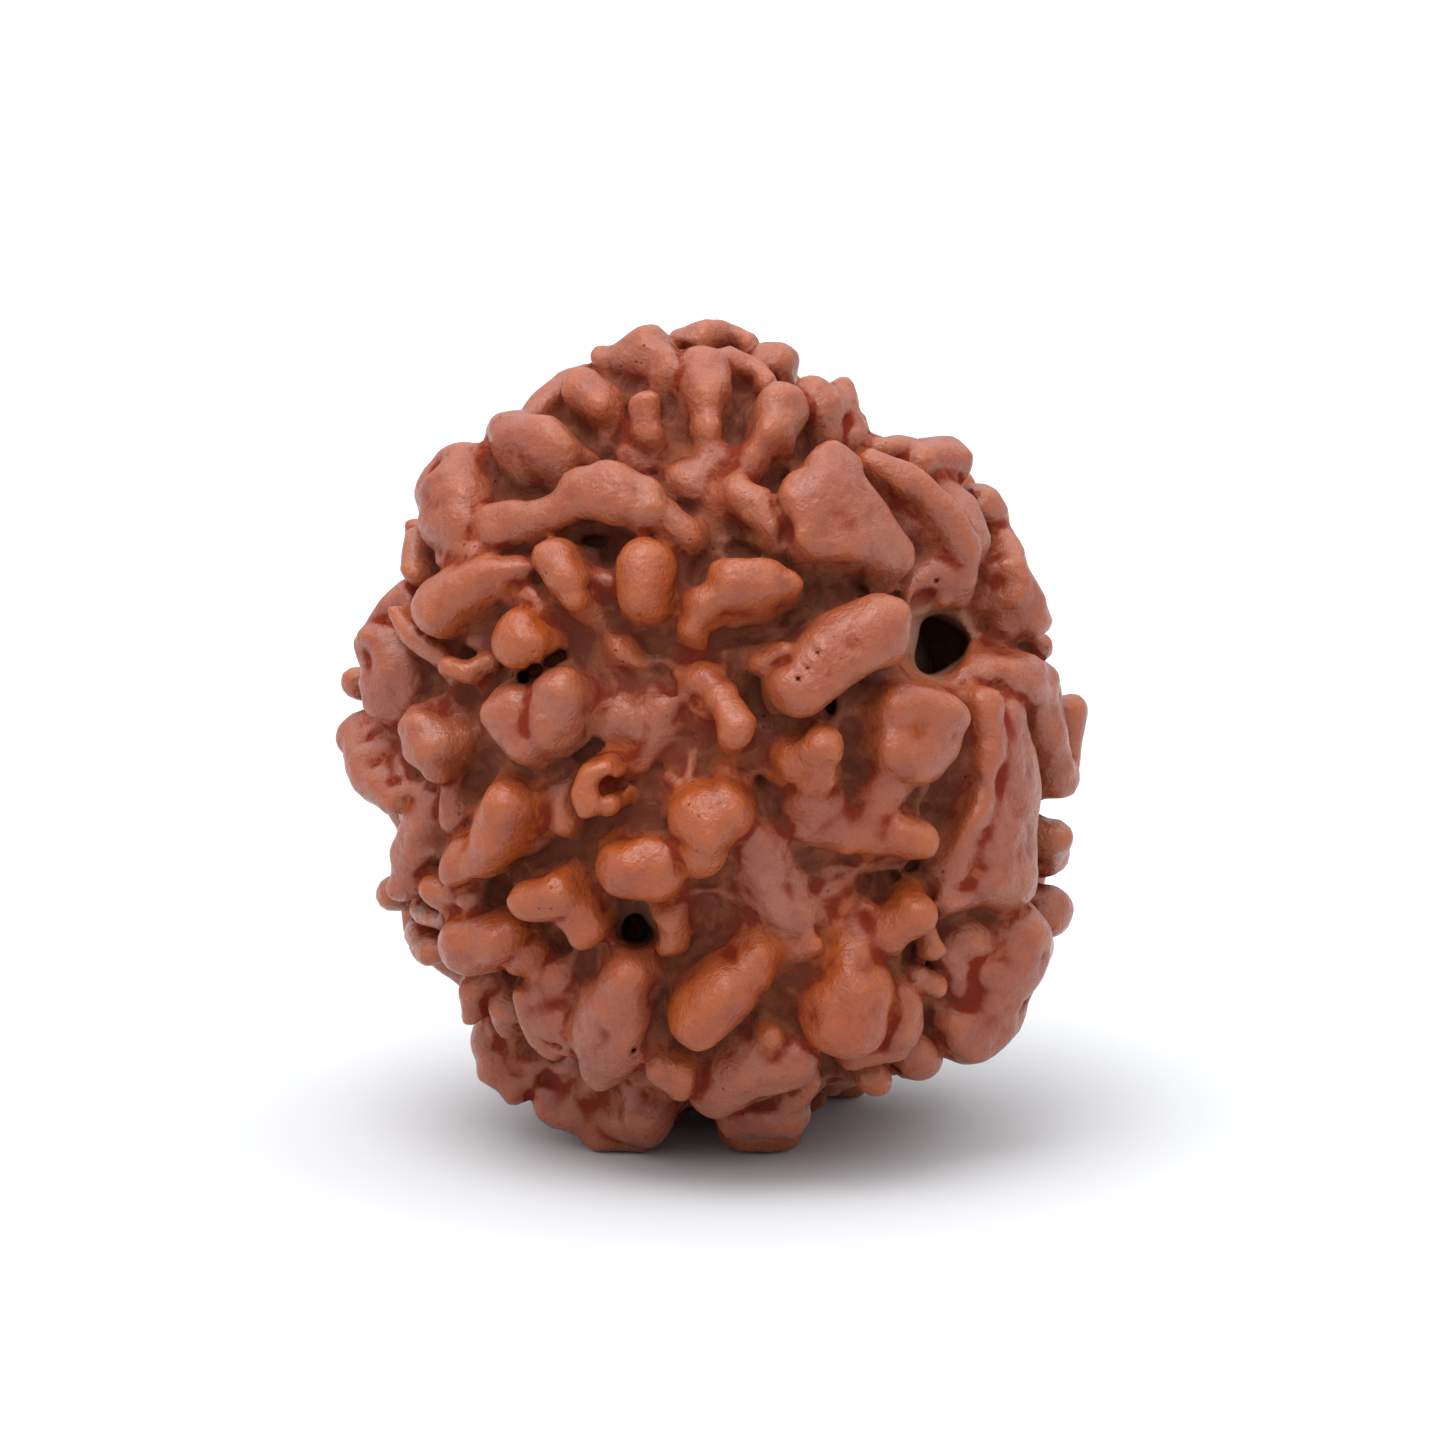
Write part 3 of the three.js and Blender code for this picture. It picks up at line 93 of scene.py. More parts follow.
# Each row is a rim radius, how orange the knob is, how much it widens downwards, and a chain
# of lumps: right, up, radius, lift.
FRONT_KNOBS = [
    # Crown
    [0.6, 0.2, 0.1, [-2.9, 12.9, 0.8, 2.4], [-2.0, 13.1, 0.95, 2.6], [-1.4, 12.6, 0.7, 2.3]],
    [0.3, 0.3, 0.1, [-3.6, 12.9, 0.5, 2.3]],
    [0.35, 0.3, 0.1, [-1.1, 13.7, 0.4, 2.3], [-0.2, 13.9, 0.45, 2.5], [0.7, 13.8, 0.4, 2.3],
     [1.3, 13.4, 0.35, 2.1]],
    [0.6, 0.35, 0.0, [-0.1, 12.8, 1.0, 2.8], [0.05, 11.8, 0.8, 2.6], [0.0, 10.7, 0.55, 2.1],
     [0.0, 9.9, 0.5, 1.6]],
    [0.35, 0.3, 0.0, [0.9, 13.0, 0.5, 2.5], [1.6, 12.6, 0.5, 2.3], [1.9, 12.1, 0.4, 2.1]],
    [0.5, 0.25, 0.0, [2.0, 13.05, 0.65, 2.4], [2.35, 12.9, 0.8, 2.4]],
    [0.5, 0.35, 0.0, [3.5, 11.6, 0.65, 2.4], [4.0, 11.2, 0.8, 2.4], [4.2, 10.7, 0.55, 2.1]],
    [0.35, 0.3, 0.1, [4.5, 12.0, 0.5, 2.4], [4.75, 11.3, 0.45, 2.2], [5.0, 10.4, 0.5, 1.9],
     [5.4, 9.8, 0.45, 1.6]],
    [0.6, 0.4, 0.0, [2.4, 11.1, 0.9, 2.9], [2.2, 10.4, 0.75, 2.6], [1.6, 9.6, 0.55, 2.1],
     [1.3, 9.0, 0.45, 1.7]],
    [0.55, 0.4, 0.1, [-4.2, 11.8, 0.75, 2.5], [-3.6, 11.5, 0.65, 2.3]],
    [0.45, 0.2, 0.2, [-5.9, 11.0, 0.5, 2.0], [-5.0, 11.9, 0.6, 2.1], [-4.3, 12.45, 0.4, 2.0]],
    [0.5, 0.15, 0.25, [-2.1, 11.3, 0.6, 2.7], [-2.1, 10.5, 0.6, 2.2], [-2.3, 9.7, 0.6, 1.5]],
    [0.6, 0.2, 0.05, [-6.7, 10.3, 0.95, 2.7], [-5.5, 10.3, 0.95, 2.9]],
    [0.5, 0.1, 0.1, [-6.6, 9.5, 0.7, 2.2], [-5.6, 9.6, 0.7, 2.3]],
    [0.7, 0.3, 0.05, [-7.7, 9.5, 0.7, 2.3], [-8.3, 9.2, 1.15, 2.7], [-8.75, 8.3, 1.5, 2.8],
     [-8.7, 7.5, 1.3, 2.7],
     [-8.6, 6.9, 0.9, 2.5]],
    # Ridges under the crown
    [0.5, 0.35, -0.2, [-7.3, 7.3, 0.8, 2.8], [-6.2, 7.4, 0.7, 2.7], [-5.2, 7.7, 0.7, 2.8],
     [-4.3, 8.3, 0.9, 3.0],
     [-3.4, 8.3, 1.1, 3.1], [-2.4, 7.9, 0.95, 2.8], [-1.6, 7.4, 0.7, 2.3], [-0.9, 7.0, 0.5, 1.9]],
    [0.35, 0.2, 0.2, [1.0, 9.4, 0.5, 1.5], [0.1, 9.3, 0.6, 1.4], [-0.9, 8.8, 0.6, 1.3]],
    [0.4, 0.4, 0.0, [0.9, 8.5, 0.45, 2.1], [1.5, 8.0, 0.55, 2.3], [2.0, 7.2, 0.45, 2.1],
     [2.4, 6.6, 0.35, 1.7]],
    [0.35, 0.1, -0.05, [4.2, 9.05, 0.95, 2.8], [4.4, 7.9, 1.35, 2.9], [5.6, 7.1, 1.05, 3.0],
     [6.75, 6.4, 0.85, 2.9]],
    [0.35, 0.15, -0.05, [3.3, 8.1, 0.95, 2.8], [3.7, 7.0, 0.85, 2.9], [4.9, 6.8, 0.8, 2.9]],
    [0.35, 0.1, 0.1, [5.5, 9.6, 0.38, 2.3], [6.5, 9.0, 0.38, 2.4], [7.5, 8.2, 0.42, 2.5],
     [8.3, 7.3, 0.45, 2.5],
     [8.7, 6.3, 0.45, 2.3], [8.6, 5.4, 0.45, 1.9]],
    [0.45, 0.05, 0.2, [7.9, 8.6, 0.6, 2.0], [8.5, 7.8, 0.75, 2.1], [8.6, 6.7, 0.8, 2.0],
     [8.2, 5.8, 0.8, 1.8],
     [8.2, 5.0, 0.7, 1.4]],
    [0.5, 0.3, 0.1, [7.3, 9.4, 0.6, 2.2], [8.2, 9.35, 0.9, 2.4]],
    [0.3, 0.2, 0.1, [6.0, 9.85, 0.4, 1.9], [6.8, 9.8, 0.45, 1.9]],
    [0.45, 0.4, 0.1, [9.45, 7.95, 0.75, 2.3], [9.85, 7.3, 0.65, 2.2]],
    # Right edge, from the shoulder down
    [0.4, 0.2, 0.1, [10.2, 6.8, 0.6, 2.3], [10.3, 5.8, 0.6, 2.3], [10.7, 4.8, 0.7, 2.3],
     [10.9, 4.0, 0.65, 2.2]],
    [0.35, 0.3, 0.1, [11.35, 3.1, 0.55, 2.1]],
    [0.5, 0.25, 0.15, [9.6, 2.2, 0.7, 1.9], [10.6, 2.0, 0.9, 2.3], [11.6, 1.75, 1.0, 2.5],
     [11.6, 0.2, 0.8, 2.4],
     [11.65, -1.1, 0.8, 2.3]],
    [0.35, 0.4, 0.1, [12.25, 0.9, 0.6, 2.3], [12.15, -0.8, 0.5, 2.2]],
    [0.4, 0.25, 0.0, [9.4, 1.1, 0.5, 2.2], [9.7, -0.2, 0.45, 2.5], [9.4, -1.6, 0.45, 2.6],
     [9.0, -3.0, 0.45, 2.5],
     [8.6, -4.2, 0.5, 2.2], [8.2, -5.2, 0.6, 2.0]],
    [0.5, 0.1, 0.1, [10.15, 0.6, 0.9, 2.3], [10.2, -0.9, 1.35, 2.5], [10.15, -2.4, 1.55, 2.5],
     [10.05, -3.7, 1.6, 2.5],
     [10.0, -4.5, 1.4, 2.5]],
    [0.35, 0.2, 0.1, [8.2, -5.5, 0.5, 2.1], [8.9, -5.4, 0.5, 2.1]],
    [0.45, 0.3, 0.1, [11.75, -3.3, 0.6, 2.3], [11.85, -4.1, 0.65, 2.3]],
    [0.45, 0.3, 0.0, [11.85, -6.0, 0.85, 2.4]],
    [0.7, 0.4, 0.1, [9.2, -6.9, 1.0, 2.2], [11.05, -7.0, 1.35, 3.0], [10.2, -8.2, 1.35, 2.7],
     [9.8, -9.2, 1.3, 2.6],
     [8.9, -10.0, 1.2, 2.5]],
    # Middle, from left to right
    [0.6, 0.7, 0.0, [-9.2, 4.5, 1.1, 2.8], [-8.5, 5.1, 1.0, 2.8], [-7.4, 5.6, 0.8, 2.7],
     [-6.4, 5.8, 0.55, 2.4]],
    [0.3, 0.4, 0.1, [-8.9, 6.1, 0.35, 2.1], [-8.0, 6.45, 0.4, 2.2]],
    [0.7, 1.0, -0.05, [-6.45, 3.3, 1.05, 2.9]],
    [0.4, 0.5, 0.2, [-6.5, 4.7, 0.45, 1.8], [-5.9, 4.7, 0.55, 1.9], [-5.5, 3.9, 0.45, 1.8]],
    [0.6, 0.6, 0.1, [-5.1, 6.1, 0.85, 2.8], [-4.8, 5.5, 0.75, 2.8], [-4.5, 4.7, 0.5, 2.4]],
    [0.3, 0.2, 0.2, [-4.2, 5.4, 0.4, 1.7], [-3.2, 5.3, 0.45, 1.7]],
    [0.65, 0.9, 0.0, [-2.25, 6.0, 0.9, 2.9], [-2.3, 5.0, 0.8, 2.8]],
    [0.55, 0.65, 0.0, [-0.6, 3.8, 0.5, 2.2], [-0.1, 4.7, 0.8, 2.6], [0.9, 5.35, 1.1, 2.9],
     [2.0, 5.35, 1.0, 2.9],
     [2.65, 5.3, 0.7, 2.7]],
    [0.45, 0.3, -0.05, [3.2, 1.65, 1.0, 2.8], [4.4, 2.8, 1.3, 3.0], [5.7, 3.6, 1.35, 3.1]],
    [0.3, 0.3, 0.15, [1.8, 2.6, 0.35, 1.7], [2.6, 2.9, 0.45, 2.0]],
    [0.4, 0.6, 0.1, [-0.2, 2.0, 0.6, 1.8], [0.4, 1.3, 0.65, 2.2], [0.9, 0.4, 0.85, 2.6]],
    [0.35, 0.2, 0.2, [-2.8, 2.9, 0.4, 1.3]],
    [0.3, 0.9, 0.0, [-3.1, -1.2, 0.3, 2.0], [-3.5, -0.95, 0.35, 2.2], [-4.05, -1.2, 0.4, 2.4],
     [-4.2, -1.8, 0.42, 2.5],
     [-3.9, -2.4, 0.5, 2.6],
     [-3.4, -2.4, 0.45, 2.3]],
    [0.3, 0.1, 0.1, [-5.2, -2.1, 0.35, 1.6], [-4.95, -2.7, 0.5, 1.7]],
    [0.4, 0.2, 0.3, [-3.4, 0.5, 0.6, 1.0], [-2.6, 0.8, 0.7, 0.9]],
    [0.4, 0.3, 0.3, [-1.7, 0.9, 0.7, 0.9]],
    [0.6, 0.15, 0.05, [-6.75, 0.8, 1.1, 2.6], [-6.3, -0.1, 0.95, 2.5]],
    [0.6, 0.1, 0.05, [-5.25, 1.35, 1.0, 2.7], [-5.4, 0.5, 1.0, 2.6]],
    [0.3, 0.4, 0.1, [-8.9, 2.4, 0.35, 2.2], [-8.3, 2.2, 0.35, 2.0], [-7.7, 2.5, 0.35, 1.7]],
    [0.35, 0.1, 0.1, [-8.1, 3.2, 0.35, 1.6]],
    [0.5, 0.85, 0.1, [3.0, -0.8, 0.7, 2.4], [4.0, -0.45, 0.75, 2.9], [3.7, -1.3, 0.8, 2.4]],
    [0.6, 0.3, 0.3, [3.5, -2.0, 0.8, 1.9], [3.9, -2.8, 0.9, 1.7], [4.8, -3.3, 0.7, 1.8]],
    [0.5, 0.7, 0.05, [4.8, -3.5, 0.55, 1.9], [5.7, -3.2, 0.8, 2.2], [6.6, -3.25, 0.65, 2.6],
     [7.4, -3.45, 0.55, 2.9]],
    [0.4, 0.4, 0.05, [7.0, 0.75, 1.05, 2.8], [8.0, 0.6, 1.0, 2.9]],
    [0.35, 0.4, 0.05, [7.9, -0.3, 0.95, 2.9], [7.5, -0.7, 1.0, 2.9], [6.9, -0.5, 1.05, 2.7]],
    [0.5, 0.4, 0.15, [6.5, -1.4, 0.8, 2.5], [5.8, -2.3, 0.75, 2.2], [5.3, -3.1, 0.65, 2.0]],
    # Left edge, from the shoulder down
    [0.35, 0.2, 0.1, [-9.9, 6.7, 0.5, 2.1], [-9.95, 5.8, 0.5, 2.1]],
    [0.35, 0.3, 0.1, [-10.45, 4.85, 0.5, 2.0], [-11.0, 4.15, 0.45, 2.0]],
    [0.5, 0.2, 0.1, [-11.2, 3.2, 0.9, 2.3], [-11.1, 2.3, 0.95, 2.2], [-11.3, 1.3, 0.8, 2.2]],
    [0.3, 0.2, 0.1, [-10.7, 4.2, 0.35, 2.4], [-10.2, 3.4, 0.4, 2.3], [-9.3, 2.8, 0.4, 2.0]],
    [0.3, 0.3, 0.1, [-12.15, 1.9, 0.5, 2.2]],
    [0.45, 0.35, 0.15, [-12.2, 0.1, 0.8, 2.4], [-11.8, -0.8, 0.75, 2.3], [-11.3, -1.6, 0.6, 2.1],
     [-10.8, -2.2, 0.45, 1.9]],
    [0.6, 0.35, 0.05, [-10.0, 0.4, 0.9, 2.6], [-9.7, -0.4, 1.0, 2.6], [-9.4, -1.2, 0.65, 2.3]],
    [0.45, 0.25, 0.25, [-10.0, -2.9, 0.7, 1.9], [-10.2, -4.0, 0.8, 2.1], [-10.2, -4.9, 0.65, 2.2]],
    [0.35, 0.2, 0.2, [-8.8, -1.7, 0.35, 1.5], [-8.7, -2.8, 0.4, 1.6]],
    [0.6, 0.9, 0.05, [-7.0, -2.5, 0.9, 2.8], [-7.4, -3.4, 0.95, 2.8], [-7.7, -4.1, 0.8, 2.6]],
    [0.5, 0.7, 0.05, [-8.5, -4.4, 0.75, 2.4]],
    [0.45, 0.3, 0.1, [-10.75, -5.4, 0.6, 2.2]],
    [0.4, 0.6, 0.1, [-9.6, -5.3, 0.55, 2.3], [-8.9, -5.5, 0.5, 2.1], [-8.1, -5.6, 0.4, 1.8]],
    [0.3, 0.3, 0.2, [-10.1, -6.0, 0.4, 2.0], [-9.2, -6.3, 0.4, 1.9], [-8.2, -6.0, 0.35, 1.7]],
    [0.4, 0.3, 0.1, [-10.05, -6.8, 0.55, 2.1], [-9.25, -7.4, 0.5, 2.1]],
    # Below the middle
    [0.65, 0.9, 0.05, [-8.2, -7.0, 0.95, 2.7], [-7.3, -7.1, 0.9, 2.6], [-6.4, -7.5, 0.75, 2.1],
     [-5.6, -8.0, 0.6, 1.7]],
    [0.5, 0.9, 0.05, [-6.2, -5.6, 0.7, 2.8], [-5.3, -5.3, 0.8, 2.8], [-4.8, -5.8, 0.7, 2.4],
     [-4.4, -6.5, 0.6, 2.2]],
    [0.6, 1.0, 0.0, [-3.1, -4.5, 0.95, 2.8], [-1.9, -4.6, 1.05, 2.8]],
    [0.6, 0.9, 0.1, [0.6, -2.5, 0.95, 2.8], [-0.1, -3.0, 1.15, 3.0], [-0.3, -3.9, 0.85, 2.8]],
    [0.6, 0.1, 0.35, [1.4, -3.4, 1.0, 1.9], [2.1, -4.6, 1.0, 1.5], [2.9, -5.7, 0.9, 1.4]],
    [0.4, 0.5, 0.15, [-1.5, -6.2, 0.6, 1.9], [-1.35, -6.9, 0.5, 1.7]],
    [0.6, 0.3, 0.05, [-2.8, -8.3, 0.9, 2.4], [-3.1, -9.5, 1.2, 2.6], [-3.5, -10.6, 1.4, 2.7],
     [-3.9, -11.4, 1.0, 2.5]],
    [0.6, 0.2, 0.3, [-5.5, -8.7, 1.0, 1.9], [-5.1, -9.6, 1.0, 2.1], [-4.9, -10.2, 0.8, 2.2]],
    [0.35, 0.3, 0.2, [-6.4, -8.6, 0.4, 1.9], [-6.2, -9.7, 0.4, 2.1], [-5.6, -10.8, 0.45, 2.2]],
    [0.6, 1.0, 0.0, [-0.2, -9.6, 1.1, 2.9], [0.7, -8.8, 1.0, 2.8], [1.5, -8.0, 0.75, 2.4],
     [1.8, -7.5, 0.5, 2.1]],
    [0.35, 0.6, 0.1, [2.1, -10.3, 0.45, 2.3]],
    [0.75, 1.0, 0.0, [4.7, -9.6, 1.4, 3.0], [5.2, -8.7, 1.25, 2.9], [5.0, -7.6, 0.95, 2.4]],
    [0.6, 0.9, 0.1, [5.2, -7.0, 0.85, 2.1], [6.2, -6.7, 0.8, 2.4], [7.0, -6.1, 0.9, 2.8]],
    [0.35, 0.6, 0.1, [3.55, -6.95, 0.42, 1.8]],
    [0.45, 0.5, 0.0, [6.6, -8.8, 0.55, 2.3], [6.7, -9.8, 0.75, 2.5], [6.2, -10.5, 0.7, 2.4],
     [5.0, -10.9, 0.55, 2.1]],
    [0.35, 0.4, 0.0, [7.6, -6.6, 0.35, 2.0], [7.7, -7.2, 0.45, 2.2]],
    [0.35, 0.4, 0.0, [7.2, -8.1, 0.4, 1.9], [7.75, -8.5, 0.4, 2.1]],
    [0.4, 0.2, 0.2, [8.5, -7.5, 0.6, 1.8], [8.6, -8.5, 0.6, 1.8]],
    # Feet and the underside's edge
    [0.6, 0.2, 0.1, [-6.1, -11.9, 0.65, 2.3], [-5.4, -12.8, 0.95, 2.6], [-3.7, -12.9, 1.0, 2.1],
     [-2.1, -12.7, 1.0, 2.1]],
    [0.35, 0.4, 0.1, [-8.1, -8.8, 0.42, 2.0], [-7.9, -9.3, 0.4, 1.9]],
    [0.35, 0.3, 0.2, [-7.0, -9.3, 0.5, 1.8], [-6.9, -9.9, 0.4, 1.7]],
    [0.45, 0.4, 0.0, [-7.6, -10.7, 0.6, 2.2], [-7.45, -11.3, 0.65, 2.4], [-6.8, -12.1, 0.6, 2.6]],
    [0.6, 0.3, 0.15, [0.4, -12.1, 1.05, 2.4], [1.5, -11.6, 1.15, 2.5], [2.8, -11.2, 0.95, 2.5]],
    [0.45, 0.5, 0.05, [-1.6, -11.4, 0.5, 2.4], [-0.9, -11.7, 0.6, 2.5]],
    [0.5, 0.2, 0.1, [0.9, -13.1, 0.7, 2.2], [2.7, -12.9, 0.75, 2.3]],
    [0.4, 0.3, 0.1, [3.5, -11.8, 0.5, 2.1], [2.8, -12.3, 0.5, 2.0]],
    [0.45, 0.3, 0.0, [7.35, -11.15, 0.8, 2.3]],
    [0.4, 0.1, 0.0, [5.7, -11.85, 0.6, 2.3]],
]
# Knobs that the drawing can't show: x, y, z, radius, lift.
FEET = [
    [0.45, 0.2, 0.1, (-3.5, -3.8, -13.3, 1.0, 3.0), (-2.5, -4.2, -13.3, 0.9, 2.85)],
    [0.45, 0.2, 0.1, (1.3, -4.2, -13.3, 1.0, 2.5), (2.5, -4.0, -13.3, 0.8, 2.5)],
    [0.45, 0.3, 0.1, (4.8, 4.0, -13.3, 1.0, 3.0)],
    [0.45, 0.3, 0.1, (-4.3, 3.5, -13.3, 0.9, 3.1), (-3.3, 4.4, -13.3, 0.9, 2.95)],
]
PIT_LIP = 0.7  # how softly a hole's side runs into the surface round it
PIT_RISE = 3  # how far above its mouth a hole clears the stone
# Blind holes; a mouth is right, up, radius and lift.
PITS = [
    {"mouth": (7.55, 2.7, 0.6, 0.3), "depth": 4.5},
    {"mouth": (7.6, 3.6, 0.55, 0.3), "depth": 4.0},
    {"mouth": (8.2, 3.1, 0.5, 0.3), "depth": 3.0},
    {"mouth": (-2.45, -6.55, 0.45, 0.3), "depth": 2.6},
]
# Places where the floor is sunk, or raised below zero: right, up, radius, depth.
HOLLOWS = [
    (-5.8, 8.9, 1.0, 2.2), (-3.6, 6.7, 0.9, 0.5), (-6.0, 6.9, 0.6, 1.2), (-6.3, 2.2, 0.5, 2.2),
    (-5.2, 2.7, 0.6, 1.9), (0.8, 10.7, 0.5, 1.6), (-1.0, 11.1, 0.4, 1.4), (3.2, 9.8, 0.6, 1.6),
    (2.3, 8.4, 0.5, 1.4), (4.8, 5.4, 1.0, 1.2), (1.5, 3.6, 0.8, 1.2), (3.0, 4.2, 0.6, 0.8),
    (2.5, 0.3, 0.9, 1.7), (4.1, 1.0, 0.8, 1.3), (5.4, 1.5, 0.7, 1.4), (1.0, -1.0, 0.6, 0.8),
    (5.2, -1.0, 0.6, 1.2), (7.7, -2.2, 0.9, 2.2), (6.4, -4.6, 1.0, 1.0), (-4.2, -4.0, 0.5, 1.2),
    (-5.5, -4.2, 0.6, 1.0), (-7.5, -5.5, 0.6, 0.8), (-1.3, -10.5, 0.8, 2.2), (-1.4, -8.6, 0.7, 1.5),
    (-5.9, -11.2, 0.5, 1.5), (2.8, -9.3, 0.7, 1.5), (7.9, -9.3, 0.7, 2.0), (-7.4, -9.5, 0.4, 1.2),
    (-2.4, -7.0, 0.6, 1.0), (9.3, 6.5, 0.4, 1.0), (-0.8, -13.0, 0.5, 1.2), (7.9, 3.4, 1.1, 1.2),
    (3.4, -2.2, 1.2, -0.7), (0.2, -6.3, 1.6, -1.3), (2.6, -7.4, 1.0, -0.7), (-6.4, -8.9, 1.5, -1.2),
    (-5.2, -9.2, 1.2, -0.9), (1.2, 8.9, 1.0, -0.6), (-10.2, -3.5, 1.2, -0.5), (2.0, -10.9, 0.9, -0.8),
    (4.2, -6.0, 1.0, -0.4), (9.9, 1.6, 1.0, -0.6), (-7.9, -0.9, 0.9, -0.3),
]
# Thin light ridges in the valleys: each a line of places, right and up.
WEBS = [
    [(-4.8, 11.3), (-4.1, 10.6), (-3.6, 9.8)],
    [(-1.2, 10.9), (-0.8, 10.4), (-0.9, 9.6), (-1.6, 8.8)],
    [(-0.5, 8.5), (0.0, 7.6), (0.2, 7.0), (0.4, 6.5)],
    [(2.0, 8.1), (2.4, 7.4), (2.6, 6.6)],
    [(-1.6, 0.1), (-2.0, -0.3), (-2.1, -0.8), (-1.9, -1.3), (-1.5, -1.5), (-1.15, -1.2), (-1.1, -0.6),
     (-1.25, -0.1), (-1.6, 0.1)],
    [(-0.6, -0.9), (-0.9, -1.6), (-1.5, -2.5), (-1.9, -3.1), (-1.3, -3.4), (-1.1, -4.2)],
    [(-4.4, -1.1), (-5.3, -2.0), (-5.6, -2.8), (-5.1, -3.3)],
    [(-7.9, 1.6), (-8.0, 0.5), (-7.6, -0.3), (-7.0, -0.9)],
    [(-8.8, -1.3), (-8.9, -2.2), (-8.8, -3.0)],
    [(0.4, -4.5), (1.2, -5.3), (2.0, -6.3), (2.6, -7.2), (2.8, -8.3)],
    [(-6.2, -4.2), (-5.9, -4.9)],
    [(-5.6, -4.0), (-5.4, -4.7)],
    [(-6.9, -8.1), (-6.5, -9.2), (-5.9, -10.2)],
    [(-5.3, -8.6), (-5.1, -9.6), (-5.0, -10.4)],
]
WEB = {"radius": 0.17, "lift": 0.42, "rim": 0.12}
# Pin holes and short crevices: right, up, radius, depth.
PINHOLES = [
    (-8.0, 9.6, 0.09, 0.2), (-9.2, 8.0, 0.09, 0.2), (3.0, 1.9, 0.11, 0.25), (2.7, 2.6, 0.08, 0.2),
    (3.7, 2.9, 0.08, 0.2), (3.3, 2.3, 0.07, 0.2), (4.6, 5.55, 0.1, 0.2), (7.7, 5.4, 0.1, 0.2),
    (7.4, 4.7, 0.08, 0.2), (-2.4, -10.6, 0.12, 0.3), (-5.3, -10.6, 0.16, 0.5),
    (-6.35, 2.05, 0.24, 1.3), (-5.95, 2.3, 0.24, 1.3), (-5.5, 2.6, 0.22, 1.0), (-5.1, 2.8, 0.22, 0.9),
    (-2.15, -6.8, 0.3, 1.6),
]
PINHOLE_LIFT = 2.6  # the height over the floor at which their sight lines are first met
PINHOLE_LIP = 0.1
AIM_WEIGHT = 4  # how much more being off that line counts than being off the surface

# The seed's outline as the eye sees it, right and up. What the rule adds stays inside it.
OUTLINE = [
    (-0.3, 14.1), (2.8, 13.4), (3.1, 12.2), (4.7, 12.1), (5.4, 10.2), (8.3, 10.1), (9.9, 8.2),
    (10.7, 6.2), (11.3, 4.4), (12.0, 2.5), (12.7, 0.8), (12.5, -1.0), (11.5, -2.2), (12.2, -4.0),
    (12.3, -6.0), (11.9, -7.3), (11.0, -8.7), (10.5, -9.9), (9.5, -10.8), (8.0, -11.3), (5.5, -12.2),
    (4.5, -11.8), (3.4, -13.6), (1.5, -14.0), (-3.0, -14.1), (-5.5, -13.6), (-7.4, -12.5), (-8.1, -11.2),
    (-8.4, -9.4), (-8.7, -8.4), (-10.3, -7.4), (-11.2, -5.8), (-10.8, -4.0), (-10.6, -2.7), (-12.0, -2.0),
    (-12.7, -0.2), (-12.1, 1.2), (-12.5, 1.9), (-11.6, 4.0), (-10.6, 5.6), (-10.4, 7.2), (-9.9, 9.0),
    (-8.8, 9.9), (-7.3, 10.5), (-6.0, 11.5), (-4.0, 12.9), (-2.5, 13.8),
]
# What covers the bare sides: shapes thrown at them, how many lumps each has, the room left round it.
ROUNDS = [
    {"throws": 1500, "lumps": (4, 8), "gap": (0.5, 0.9)},
    {"throws": 2500, "lumps": (3, 4), "gap": (0.5, 0.9)},
    {"throws": 2500, "lumps": (2, 3), "gap": (0.4, 0.8)},
    {"throws": 2500, "lumps": (1, 2), "gap": (0.35, 0.6)},
]
THROWN_AT = {"radius": 11, "lift": 1.8}  # where the middle of a thrown shape is put first
SIZE_SPREAD = (0.85, 1.15)
COVERED_LIFT = (1.4, 3.1)
LEAST_LIFT = 0.9
FACING_LIMIT = 0.02
OUTLINE_ROOM = 0.1  # how far a lump's edge keeps inside the outline
EDGE_SHARE = 0.7  # how much of a lump's radius counts towards that
LOWERED = 1.1  # how much lower a lump gets for each millimetre past that room
# Low ridges between knobs that stand within reach, and the share of such pairs that get one.
RIDGES = {"reach": 3.2, "share": 0.45, "rim": 0.3, "lift": (0.7, 1.2), "radius": (0.3, 0.45)}

# The net of points, and the triangles that the finished mesh keeps.
CELL = 0.16
REACH = (14.5, 14.5, 15.5)
TRIANGLES = 196000
HEIGHTS = (-1.8, 4.2)  # the heights over the floor between which the surface lies
KNOB_MARGIN = 3.2  # how far round its lumps a knob is worked out
FAR = 9  # a distance that no knob reaches
SNUG_REACH = 0.3  # half sizes of the boxes that tell how shut in a place is
DEEP_REACH = 0.9

UP_ANGLE = math.radians(EYE_ELEVATION)
TOWARDS_EYE = np.array([0, -math.cos(UP_ANGLE), math.sin(UP_ANGLE)])
DRAWING_UP = np.array([0, math.sin(UP_ANGLE), math.cos(UP_ANGLE)])


def lerp(a, b, t):
    return a + (b - a) * t


def blend(a, b, k):
    """Joins two distances with a fillet of size k."""
    h = np.maximum(k - np.abs(a - b), 0) / k
    return np.minimum(a, b) - h * h * k / 4


def hashed(x, y, z, seed):
    """A number from 0 to 1 for each whole-numbered point."""
    x, y, z = (np.asarray(v).astype(np.int64).astype(np.uint32) for v in (x, y, z))
    with np.errstate(over="ignore"):
        h = x * np.uint32(374761393) + y * np.uint32(668265263)
        h = h + z * np.uint32(1440662683) + np.uint32(seed) * np.uint32(1274126177)
        h = (h ^ (h >> np.uint32(13))) * np.uint32(1274126177)
    return ((h ^ (h >> np.uint32(16))) / 4294967296).astype(np.float64)


